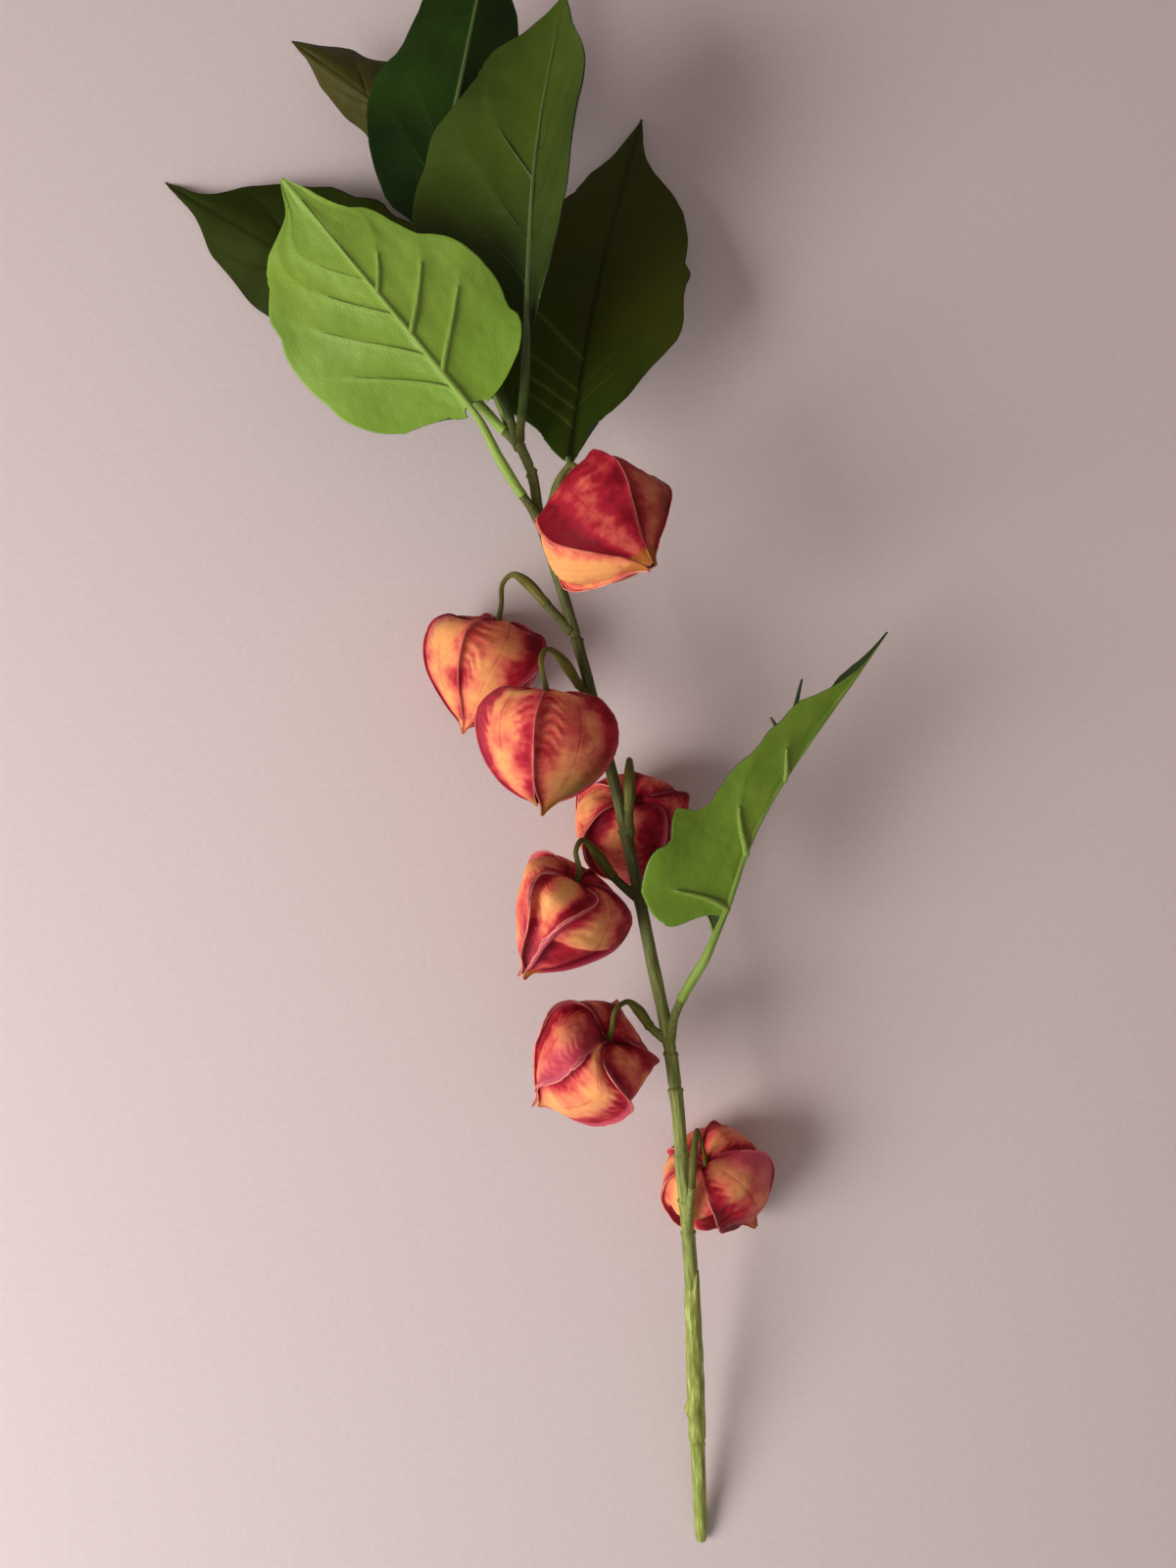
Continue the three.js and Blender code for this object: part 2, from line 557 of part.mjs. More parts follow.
// A thin closed blade: both faces have the same triangles, joined around the edge.
function bladeGeometry(leaf) {
  const { place, normal } = leafSurface(leaf);
  const { along, across } = BLADE_STEPS;
  const corners = [];
  for (const face of [1, -1]) {
    for (let i = 0; i <= along; i += 1) {
      for (let j = 0; j <= across; j += 1) {
        const share = (i / along) ** BASE_CROWDING;
        const aside = mix(-1, 1, j / across);
        const corner = place(share, aside)
          .addScaledVector(normal(share, aside), face * BLADE_THICKNESS / 2);
        corners.push(corner.x, corner.y, corner.z);
      }
    }
  }
  const row = across + 1;
  const under = (along + 1) * row;
  const triangles = [];
  const quad = (a, b, c, d) => triangles.push(a, b, c, a, c, d);
  for (let i = 0; i < along; i += 1) {
    for (let j = 0; j < across; j += 1) {
      const a = i * row + j;
      quad(a, a + 1, a + row + 1, a + row);
      triangles.push(under + a, under + a + row + 1, under + a + 1);
      triangles.push(under + a, under + a + row, under + a + row + 1);
    }
    const left = i * row;
    const right = left + across;
    quad(left, left + row, under + left + row, under + left);
    quad(right, under + right, under + right + row, right + row);
  }
  for (let j = 0; j < across; j += 1) {
    const last = along * row + j;
    quad(j, under + j, under + j + 1, j + 1);
    quad(last, last + 1, under + last + 1, under + last);
  }
  const geometry = new THREE.BufferGeometry();
  geometry.setAttribute("position", new THREE.Float32BufferAttribute(corners, 3));
  geometry.setIndex(triangles);
  return geometry;
}

function bladeSolid(leaf, number) {
  const blade = toSolid(bladeGeometry(leaf));
  return RESTING_LEAVES.includes(number) ? blade.intersect(floorBlock()) : blade;
}

// A rib's centre line on a leaf's surface, clear of the blade by the seam gap.
function onSurface(surface, side, share, across, radius) {
  const baseLift = BASE_LIFT * (1 - smooth(share, 0, BASE_LIFT_ENDS));
  const lift = BLADE_THICKNESS / 2 + SEAM_GAP + radius + baseLift;
  return surface.place(share, across)
    .addScaledVector(surface.normal(share, across), side * lift);
}

function midribRadius(share) {
  return mix(MIDRIB_RADIUS.base, MIDRIB_RADIUS.tip, Math.max(share, 0));
}

function petioleCurve(leaf) {
  const surface = leafSurface(leaf);
  const places = [...MIDRIB_PLACES, MIDRIB_REACH];
  const rib = places.map((share) => onSurface(surface, leaf.ribs, share, 0, midribRadius(share)));
  return new THREE.CatmullRomCurve3([...leaf.route.map(point), ...rib], false, "centripetal");
}

function sideRib(leaf, surface, { side, from, to, reach }) {
  const radiusAt = (share) => mix(SIDE_RIB_RADIUS.base, SIDE_RIB_RADIUS.tip, share);
  const places = [0, 0.5, 1].map((share) => {
    const along = mix(from, to, share);
    return onSurface(surface, leaf.ribs, along, side * reach * share, radiusAt(share));
  });
  const curve = new THREE.CatmullRomCurve3(places);
  return taperedTube(curve, radiusAt, SIDE_RIB_SIDES, SIDE_RIB_STEPS);
}

// Petiole, midrib and side ribs in one piece.
function leafSkeleton(leaf, curve) {
  const petioleShare = point(leaf.midrib[0]).distanceTo(point(leaf.midrib[2]));
  const neck = 1 - (petioleShare * MIDRIB_REACH) / curve.getLength();
  const { sleeve, swell, neck: thin } = PETIOLE_RADIUS;
  const radiusAt = (share) => {
    if (share < PETIOLE_SWELL) return mix(sleeve, swell, share / PETIOLE_SWELL);
    if (share < neck) return mix(swell, thin, smooth(share, PETIOLE_SWELL, neck));
    return mix(thin, MIDRIB_RADIUS.tip, (share - neck) / (1 - neck));
  };
  const surface = leafSurface(leaf);
  const open = ({ side }) => Math.abs((side < 0 ? leaf.left : leaf.right).angle) < FOLDED_BACK;
  const ribs = SIDE_RIBS.filter(open).map((rib) => sideRib(leaf, surface, rib));
  return sleeved(curve, leaf.stub, radiusAt, PETIOLE_STEPS, ribs);
}

// ---- Assembly ------------------------------------------------------------------------------

const stalks = LANTERNS.map((lantern) => ({ curve: stalkCurve(lantern), stub: lantern.stub }));
const petioles = LEAVES.map((leaf) => ({ curve: petioleCurve(leaf), stub: leaf.stub }));

const lanternStem = new THREE.Group();
lanternStem.add(
  named("stem_upper", toGeometry(stemUpper([...stalks, ...petioles])), STEM_FINISH),
  named("stem_middle", toGeometry(stemMiddle()), STEM_FINISH),
  named("stem_foot", toGeometry(stemFoot()), FOOT_FINISH),
);
LANTERNS.forEach((lantern, index) => {
  const number = index + 1;
  const { curve, stub } = stalks[index];
  const stalk = sleeved(curve, stub, stalkRadius, STALK_STEPS);
  lanternStem.add(
    named(`lantern_stalk_${number}`, toGeometry(stalk), STALK_FINISH),
    named(`lantern_${number}`, toGeometry(lanternSolid(lantern, number)), LANTERN_FINISH),
  );
});
LEAVES.forEach((leaf, index) => {
  const number = index + 1;
  const skeleton = leafSkeleton(leaf, petioles[index].curve);
  lanternStem.add(
    named(`leaf_blade_${number}`, toGeometry(bladeSolid(leaf, number)), BLADE_FINISH),
    named(`leaf_ribs_${number}`, toGeometry(skeleton), RIB_FINISH),
  );
});

const bounds = new THREE.Box3().setFromObject(lanternStem);
const middle = bounds.getCenter(new THREE.Vector3());
lanternStem.position.set(-middle.x, -middle.y, -bounds.min.z);

export default lanternStem;
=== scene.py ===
"""A cut artificial stem of chinese lanterns, lying down: its moulded stem, papery lanterns and leaves."""

import logging
import math
from collections.abc import Callable, Sequence
from dataclasses import dataclass, field
from enum import Enum

import bmesh
import bpy
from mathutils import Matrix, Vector, noise


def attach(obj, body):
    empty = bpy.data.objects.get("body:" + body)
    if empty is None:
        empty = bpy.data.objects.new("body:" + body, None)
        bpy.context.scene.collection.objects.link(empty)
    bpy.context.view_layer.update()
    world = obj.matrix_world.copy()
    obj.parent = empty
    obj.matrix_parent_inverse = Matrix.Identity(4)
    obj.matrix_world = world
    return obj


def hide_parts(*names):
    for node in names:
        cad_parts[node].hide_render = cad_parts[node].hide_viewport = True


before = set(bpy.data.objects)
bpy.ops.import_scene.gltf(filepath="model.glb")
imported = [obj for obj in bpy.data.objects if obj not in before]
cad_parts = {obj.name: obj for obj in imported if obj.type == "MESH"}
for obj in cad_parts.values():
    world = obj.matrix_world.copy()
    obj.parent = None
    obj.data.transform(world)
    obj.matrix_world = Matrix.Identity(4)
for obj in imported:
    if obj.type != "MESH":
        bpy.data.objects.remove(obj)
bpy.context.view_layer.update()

log = logging.getLogger("lantern_stem")

Point = tuple[float, float, float]
Colour = tuple[float, float, float]

MM = 0.001
ROW_OFFSET = Vector((32.49, -8.26, 0.0))  # from the drawing's origin to the footprint's centre, in mm
BODY = "root"
WELD = 1e-7  # corners closer than this are one corner, in metres
UP = Vector((0.0, 0.0, 1.0))


# ---- Small sums ----------------------------------------------------------------------------


def mix(low: float, high: float, share: float) -> float:
    """Blends two numbers; share 0 gives low and 1 gives high."""
    return low + (high - low) * share


def clamp(value: float, low: float = 0.0, high: float = 1.0) -> float:
    """Keeps a number between low and high."""
    return max(low, min(high, value))


def smooth(value: float, low: float, high: float) -> float:
    """Rises from 0 at low to 1 at high, with soft ends."""
    share = clamp((value - low) / (high - low))
    return share * share * (3 - 2 * share)


def bump(value: float, middle: float, width: float) -> float:
    """A soft hump: 1 in the middle, fading out over about width on each side."""
    return math.exp(-(((value - middle) / width) ** 2))


def hermite(first: float | Vector, second: float | Vector, start: float | Vector,
            end: float | Vector, weight: float) -> float | Vector:
    """Runs from first to second, leaving at the slope start and arriving at the slope end."""
    return (first + start * weight + (3 * (second - first) - 2 * start - end) * weight ** 2
            + (2 * (first - second) + start + end) * weight ** 3)


def through(values: Sequence[float], index: int, weight: float) -> float:
    """A smooth curve through evenly counted values, at a weight from 0 to 1 past one of them."""
    first, second = values[index], values[index + 1]
    before, after = values[max(index - 1, 0)], values[min(index + 2, len(values) - 1)]
    return hermite(first, second, (second - before) / 2, (after - first) / 2, weight)


def in_row(place: Vector, least: float = 0.0) -> Vector:
    """Turns a place in the drawing, in millimetres, into a place on the part, in metres.

    Args:
        place: The place in the drawing.
        least: The lowest height it may have, in mm, so that what rests on the floor is flattened.

    Returns:
        The place on the part.
    """
    moved = place + ROW_OFFSET
    return Vector((moved.x, moved.y, max(moved.z, least))) * MM


def srgb(red: int, green: int, blue: int) -> Colour:
    """Turns a screen colour, 0 to 255, into a linear one."""
    values = []
    for channel in (red, green, blue):
        level = channel / 255
        values.append(level / 12.92 if level <= 0.04045 else ((level + 0.055) / 1.055) ** 2.4)
    return (values[0], values[1], values[2])


# ---- Curves --------------------------------------------------------------------------------


class Route:
    """A smooth curve through points, in millimetres, that is read by the share of its length."""

    SAMPLES = 240
    STEP = 0.0005  # share of the length over which its direction is read

    def __init__(self, points: Sequence[Sequence[float]]) -> None:
        """Takes the points in order."""
        self.points = [Vector(place) for place in points]
        self.lengths = [0.0]
        last = self.free(0.0)
        for step in range(1, self.SAMPLES + 1):
            place = self.free(step / self.SAMPLES)
            self.lengths.append(self.lengths[-1] + (place - last).length)
            last = place

    @property
    def length(self) -> float:
        """The curve's length in millimetres."""
        return self.lengths[-1]

    def free(self, share: float) -> Vector:
        """Reads the curve by its points, whatever their spacing.

        Args:
            share: 0 at the first point and 1 at the last.

        Returns:
            The place on the curve.
        """
        points = self.points
        count = len(points)
        along = (count - 1) * share
        index = min(int(along), count - 2)
        weight = along - index
        first, second = points[index], points[index + 1]
        before = points[index - 1] if index > 0 else first * 2 - second
        after = points[index + 2] if index + 2 < count else second * 2 - first
        spans = [max((b - a).length, 1e-8) ** 0.5 for a, b in
                 ((before, first), (first, second), (second, after))]
        start = ((first - before) / spans[0] - (second - before) / (spans[0] + spans[1])
                 + (second - first) / spans[1]) * spans[1]
        end = ((second - first) / spans[1] - (after - first) / (spans[1] + spans[2])
               + (after - second) / spans[2]) * spans[1]
        return hermite(first, second, start, end, weight)

    def at(self, share: float) -> Vector:
        """The place at a share of the curve's length."""
        target = clamp(share) * self.length
        low, high = 0, self.SAMPLES
        while high - low > 1:
            middle = (low + high) // 2
            if self.lengths[middle] <= target:
                low = middle
            else:
                high = middle
        part = (target - self.lengths[low]) / max(self.lengths[high] - self.lengths[low], 1e-9)
        return self.free((low + part) / self.SAMPLES)

    def direction(self, share: float) -> Vector:
        """The curve's direction at a share of its length."""
        return (self.at(min(share + self.STEP, 1.0))
                - self.at(max(share - self.STEP, 0.0))).normalized()


@dataclass(frozen=True)
class Directions:
    """A piece's own directions: along it, up towards the viewer's side, and to its right."""

    along: Vector
    upward: Vector
    right: Vector

    def around(self, turn: float) -> tuple[Vector, Vector]:
        """The directions outwards and onwards at an angle about it, from upward towards right."""
        outward = self.upward * math.cos(turn) + self.right * math.sin(turn)
        return outward, self.right * math.cos(turn) - self.upward * math.sin(turn)


LUMPS, RIDGES = (1.3, 0.11), (3.6, 0.04)  # how fine unevenness is round a stem, and along it per mm


@dataclass(frozen=True)
class Profile:
    """How thick a stem or stalk is along its length.

    stations are shares of the length with a radius in mm, lumps is how uneven the surface is in mm,
    soft numbers the stations that are reached with soft ends instead of a straight run, and rings
    are raised rings, each a share, a width and a rise (below 0 it is a groove).
    """

    stations: Sequence[tuple[float, float]]
    lumps: float
    soft: Sequence[int] = ()
    rings: Sequence[tuple[float, float, float]] = ()

    def at(self, share: float) -> float:
        """The radius at a share of the length."""
        radius = self.stations[-1][1]
        spans = zip(self.stations, self.stations[1:])
        for index, ((low, first), (high, second)) in enumerate(spans, 1):
            if share < high:
                straight = (share - low) / (high - low)
                radius = mix(first, second, smooth(straight, 0, 1) if index in self.soft else straight)
                break
        return radius + sum(rise * bump(share, place, width) for place, width, rise in self.rings)

    def uneven(self, share: float, distance: float, turn: float) -> float:
        """The radius with its slight lumps and the ridges that run along it.

        Args:
            share: The share of the length.
            distance: The distance in mm by which the lumps are found.
            turn: The turn round the stem in radians.

        Returns:
            The radius in mm.
        """
        lumps, ridges = (
            noise.noise(Vector((math.cos(turn) * around, math.sin(turn) * around, distance * along)))
            for around, along in (LUMPS, RIDGES))
        return self.at(share) + self.lumps * (lumps + 1.1 * ridges)


def upright(along: Vector) -> Vector:
    """The direction square to along that points most nearly upwards."""
    return (UP - along * along.z).normalized()


# ---- Meshes --------------------------------------------------------------------------------


def sheet(columns: int, rows: int, place: Callable[[float, float], Vector],
          marks: dict[str, Callable[[float, float], float]] | None = None,
          least: float = 0.0) -> bmesh.types.BMesh:
    """Makes a rectangular net and lays it on a surface.

    Args:
        columns: How many faces it has from side to side.
        rows: How many faces it has from its start to its end.
        place: Gives the place, in drawing millimetres, for u and v from 0 to 1.
        marks: Named values stored at every corner, for the finish to read.
        least: The lowest height a corner may have, in mm.

    Returns:
        The open net, with a UV map that holds u and v.
    """
    net = bmesh.new()
    bmesh.ops.create_grid(net, x_segments=columns, y_segments=rows, size=1.0)
    net.verts.ensure_lookup_table()
    layer = net.loops.layers.uv.new("surface")
    for face in net.faces:
        for loop in face.loops:
            loop[layer].uv = ((loop.vert.co.x + 1) / 2, (loop.vert.co.y + 1) / 2)
    layers = {name: net.verts.layers.float.new(name) for name in marks or {}}
    for vert in net.verts:
        u, v = clamp((vert.co.x + 1) / 2), clamp((vert.co.y + 1) / 2)
        for name, value in (marks or {}).items():
            vert[layers[name]] = value(u, v)
        vert.co = in_row(place(u, v), least)
    return net


def gathered(nets: Sequence[bmesh.types.BMesh]) -> bmesh.types.BMesh:
    """Puts several nets into one, and frees the others."""
    whole = bmesh.new()
    for net in nets:
        spare = bpy.data.meshes.new("spare")
        net.to_mesh(spare)
        net.free()
        whole.from_mesh(spare)
        bpy.data.meshes.remove(spare)
    return whole


@dataclass(frozen=True)
class Cap:
    """How a tube ends: how round its end is (0 is flat) and how many rows of faces it has."""

    roundness: float = 0.5
    rows: int = 4


@dataclass
class Tube:
    """A closed tube along a route, with a radius in millimetres at each share and turn."""

    route: Route
    radius: Callable[[float, float], float]
    start: float = 0.0
    end: float = 1.0
    sides: int = 20
    rows: int = 60
    cap: Cap = field(default_factory=Cap)
    shift: Callable[[float, float], float] | None = None

    def frames(self) -> list[tuple[Vector, Vector, Vector, Vector]]:
        """Works out the centre and the three directions at each row."""
        rows = []
        across: Vector | None = None
        for row in range(self.rows + 1):
            share = mix(self.start, self.end, row / self.rows)
            along = self.route.direction(share)
            across = UP.cross(along) if across is None else across
            across = (across - along * along.dot(across)).normalized()
            rows.append((self.route.at(share), along, across, across.cross(along)))
        return rows

    def net(self) -> bmesh.types.BMesh:
        """Builds the tube as one closed skin."""
        frames = self.frames()
        cap = self.cap.rows
        total = self.rows + 2 * cap

        def place(u: float, v: float) -> Vector:
            row = round(v * total)
            inside = min(max(row - cap, 0), self.rows)
            share = inside / self.rows
            beyond = (cap - row) / cap if row < cap else max(row - cap - self.rows, 0) / cap
            centre, along, across, third = frames[inside]
            turn = 2 * math.pi * u
            radius = self.radius(share, turn)
            angle = beyond * math.pi / 2
            outward = -1 if row < cap else 1
            push = math.sin(angle) * radius * self.cap.roundness * outward
            push += self.shift(share, turn) if self.shift else 0.0
            reach = radius * (math.cos(angle) if beyond < 1 else 0.0)
            return (centre + along * push
                    + (across * math.sin(turn) + third * math.cos(turn)) * reach)

        skin = sheet(self.sides, total, place)
        bmesh.ops.remove_doubles(skin, verts=skin.verts, dist=WELD)
        bmesh.ops.recalc_face_normals(skin, faces=skin.faces)
        return skin


def piece(name: str, net: bmesh.types.BMesh, finishes: Sequence[bpy.types.Material],
          nodes: Sequence[str]) -> bpy.types.Object:
    """Turns a net into a finished piece that stands for some of the part's solids.

    Args:
        name: The piece's name.
        net: Its net, which is freed.
        finishes: Its materials, in slot order.
        nodes: The solids it stands for.

    Returns:
        The new object.
    """
    mesh = bpy.data.meshes.new(name)
    net.to_mesh(mesh)
    net.free()
    mesh.shade_smooth()
    for material in finishes:
        mesh.materials.append(material)
    made = bpy.data.objects.new(name, mesh)
    bpy.context.scene.collection.objects.link(made)
    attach(made, BODY)
    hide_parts(*nodes)
    log.info("%s: %d faces, for %s", name, len(mesh.polygons), ", ".join(nodes))
    return made


def thicken(made: bpy.types.Object, thickness: float, offset: float, back: int) -> None:
    """Gives an open skin a wall, whose rim has the second finish.

    Args:
        made: The skin.
        thickness: The wall's thickness in mm.
        offset: -1 puts it behind the skin, and 0 on both sides of it.
        back: 1 gives its back the second finish too.
    """
    wall = made.modifiers.new("wall", "SOLIDIFY")
    wall.thickness = thickness * MM
    wall.offset = offset
    wall.material_offset = back
    wall.material_offset_rim = 1


# ---- Finishes ------------------------------------------------------------------------------

LADDER_REACH = 0.318  # m from the part's middle to where a ladder of greens starts and ends

class Sockets(Enum):
    """The kinds of value that go in or out of a shader group."""

    NUMBER = "NodeSocketFloat"
    DIRECTION = "NodeSocketVector"


Value = bpy.types.NodeSocket | float | Colour
Layer = tuple[Colour, Value, float]  # a tint, the mask that says where it goes, and its strength


class Recipe:
    """Writes shader nodes into a tree, a line for each node."""

    def __init__(self, tree: bpy.types.NodeTree) -> None:
        """Takes the tree it writes in."""
        self.tree = tree

    def node(self, kind: str, inputs: dict[str | int, Value], **settings: object) -> bpy.types.Node:
        """Adds a node, sets it up and joins what feeds it."""
        made = self.tree.nodes.new(kind)
        for name, setting in settings.items():
            setattr(made, name, setting)
        for name, value in inputs.items():
            self.feed(made.inputs[name], value)
        return made

    def feed(self, socket: bpy.types.NodeSocket, value: Value) -> None:
        """Joins a socket to another one, or sets it to a plain value."""
        if isinstance(value, bpy.types.NodeSocket):
            self.tree.links.new(value, socket)
        elif isinstance(value, tuple) and len(socket.default_value) == 4:
            socket.default_value = (*value, 1.0)
        else:
            socket.default_value = value

    def sum(self, operation: str, first: Value, second: Value = 0.0,
            third: Value = 0.0) -> bpy.types.NodeSocket:
        """Works out a sum of up to three numbers."""
        inputs = {0: first, 1: second, 2: third}
        return self.node("ShaderNodeMath", inputs, operation=operation).outputs[0]

    def times(self, first: Value, second: Value, plus: Value = 0.0) -> bpy.types.NodeSocket:
        """Multiplies two numbers and adds a third."""
        return self.sum("MULTIPLY_ADD", first, second, plus)

    def ranged(self, value: Value, low: float, high: float, start: float = 0.0,
               end: float = 1.0) -> bpy.types.NodeSocket:
        """Maps low to start and high to end, softly, and holds it there outside."""
        inputs = {"Value": value, "From Min": low, "From Max": high, "To Min": start, "To Max": end}
        made = self.node("ShaderNodeMapRange", inputs, interpolation_type="SMOOTHSTEP")
        return made.outputs["Result"]

    def blend(self, first: Value, second: Value, share: Value) -> bpy.types.NodeSocket:
        """Mixes two colours."""
        made = self.tree.nodes.new("ShaderNodeMix")
        made.data_type = "RGBA"
        for socket, value in ((0, share), (6, first), (7, second)):
            self.feed(made.inputs[socket], value)
        return made.outputs[2]

    def tints(self, colour: Value, layers: Sequence[Layer]) -> Value:
        """Lays tints over a colour, one after another."""
        for tint, mask, strength in layers:
            colour = self.blend(colour, tint, self.times(mask, strength))
        return colour

    def ramp(self, value: Value, stops: Sequence[tuple[float, Colour]]) -> bpy.types.NodeSocket:
        """Turns a number into a colour by way of some stops."""
        made = self.node("ShaderNodeValToRGB", {"Fac": value})
        elements = made.color_ramp.elements
        for index, (place, colour) in enumerate(stops):
            element = elements[index] if index < 2 else elements.new(place)
            element.position = place
            element.color = (*colour, 1.0)
        return made.outputs["Color"]

    def noise(self, vector: Value, scale: Value, detail: float = 4.0,
              roughness: float = 0.5) -> bpy.types.NodeSocket:
        """Fractal noise from 0 to 1."""
        inputs = {"Vector": vector, "Scale": scale, "Detail": detail, "Roughness": roughness}
        return self.node("ShaderNodeTexNoise", inputs).outputs["Fac"]

    def mapped(self, vector: Value, scale: Point) -> bpy.types.NodeSocket:
        """Stretches a pattern."""
        return self.node("ShaderNodeMapping", {"Vector": vector, "Scale": scale}).outputs["Vector"]

    def mark(self, name: str) -> bpy.types.NodeSocket:
        """Reads a value that is stored at the mesh's corners."""
        made = self.node("ShaderNodeAttribute", {}, attribute_name=name)
        return made.outputs["Fac"]


class GroupRecipe(Recipe):
    """A shader node group that is being made."""

    def __init__(self, name: str, inputs: dict[str, Sockets], outputs: Sequence[str]) -> None:
        """Starts the group.

        Args:
            name: Its name.
            inputs: The name and kind of each input.
            outputs: The name of each output; all are numbers.
        """
        super().__init__(bpy.data.node_groups.new(name, "ShaderNodeTree"))
        sockets = self.tree.interface.new_socket
        for label, kind in inputs.items():
            sockets(name=label, in_out="INPUT", socket_type=kind.value)
        for label in outputs:
            sockets(name=label, in_out="OUTPUT", socket_type=Sockets.NUMBER.value)
        self.given = self.tree.nodes.new("NodeGroupInput").outputs
        self.wanted = self.tree.nodes.new("NodeGroupOutput").inputs


def mottling_group() -> bpy.types.NodeTree:
    """Uneven tone at three sizes, for every dyed or moulded surface."""
    group = GroupRecipe("mottling", {"Vector": Sockets.DIRECTION, "Patch": Sockets.NUMBER,
                                     "Speck": Sockets.NUMBER}, ("Patches", "Specks", "Grain"))
    place, wanted = group.given["Vector"], group.wanted
    broad = group.noise(place, group.given["Patch"], 3.0, 0.55)
    fine = group.noise(place, group.given["Speck"], 5.0, 0.7)
    group.feed(wanted["Patches"], group.ranged(broad, 0.3, 0.7))
    group.feed(wanted["Specks"], group.ranged(fine, 0.6, 0.72))
    group.feed(wanted["Grain"], group.noise(place, 2600.0, 2.0))
    return group.tree


def streaks_group() -> bpy.types.NodeTree:
    """Fine lines that run along a stem, stalk or rib, from its UV map."""
    group = GroupRecipe("long_streaks", {"Vector": Sockets.DIRECTION, "Lines": Sockets.NUMBER,
                                         "Length": Sockets.NUMBER}, ("Streaks",))
    stretch = group.node("ShaderNodeCombineXYZ", {
        "X": group.given["Lines"], "Y": group.given["Length"], "Z": 1.0,
    })
    scaled = group.node("ShaderNodeVectorMath", {
        0: group.given["Vector"], 1: stretch.outputs["Vector"],
    }, operation="MULTIPLY")
    lines = group.noise(scaled.outputs["Vector"], 1.0, 4.0, 0.6)
    group.feed(group.wanted["Streaks"], group.ranged(lines, 0.3, 0.7))
    return group.tree


@dataclass(frozen=True)
class SharedGroups:
    """The shader groups that several finishes use."""

    mottling: bpy.types.NodeTree
    streaks: bpy.types.NodeTree


class Finish:
    """A material that is being made: its tree, its shader and its coordinates."""

    def __init__(self, name: str, roughness: float, gloss: float = 0.3) -> None:
        """Starts a material with a plain shader.

        Args:
            name: The material's name.
            roughness: The shader's roughness, where nothing else drives it.
            gloss: How strongly it reflects, where 0.5 is usual for plastic.
        """
        self.material = bpy.data.materials.new(name)
        self.material.use_nodes = True
        tree = self.material.node_tree
        self.recipe = Recipe(tree)
        self.shader = tree.nodes["Principled BSDF"]
        self.shader.inputs["Roughness"].default_value = roughness
        self.shader.inputs["Specular IOR Level"].default_value = gloss
        coordinates = tree.nodes.new("ShaderNodeTexCoord")
        self.place = coordinates.outputs["Object"]
        self.surface = coordinates.outputs["UV"]

    def along(self, vector: bpy.types.NodeSocket) -> bpy.types.bpy_prop_collection:
        """The X, Y and Z of a vector, as numbers."""
        return self.recipe.node("ShaderNodeSeparateXYZ", {"Vector": vector}).outputs

    def group(self, tree: bpy.types.NodeTree,
              inputs: dict[str, Value]) -> bpy.types.bpy_prop_collection:
        """Adds a shared group and gives its outputs."""
        made = self.material.node_tree.nodes.new("ShaderNodeGroup")
        made.node_tree = tree
        for name, value in inputs.items():
            self.recipe.feed(made.inputs[name], value)
        return made.outputs

    def mottle(self, groups: SharedGroups, patch: float,
               speck: float) -> bpy.types.bpy_prop_collection:
        """Adds the mottling, with patches and specks at these scales, and gives its outputs."""
        return self.group(groups.mottling, {"Vector": self.place, "Patch": patch, "Speck": speck})

    def colour(self, value: Value) -> None:
        """Sets what feeds the base colour."""
        self.recipe.feed(self.shader.inputs["Base Color"], value)

    def rough(self, mask: Value, low: float, high: float) -> None:
        """Lets the roughness go from low to high where a mask goes from 0 to 1."""
        self.recipe.feed(self.shader.inputs["Roughness"], self.recipe.ranged(mask, 0.0, 1.0, low, high))

    def relief(self, height: Value, strength: float, depth: float) -> None:
        """Adds a bump of a depth in metres."""
        made = self.recipe.node("ShaderNodeBump", {
            "Height": height, "Strength": strength, "Distance": depth,
        })
        self.recipe.feed(self.shader.inputs["Normal"], made.outputs["Normal"])


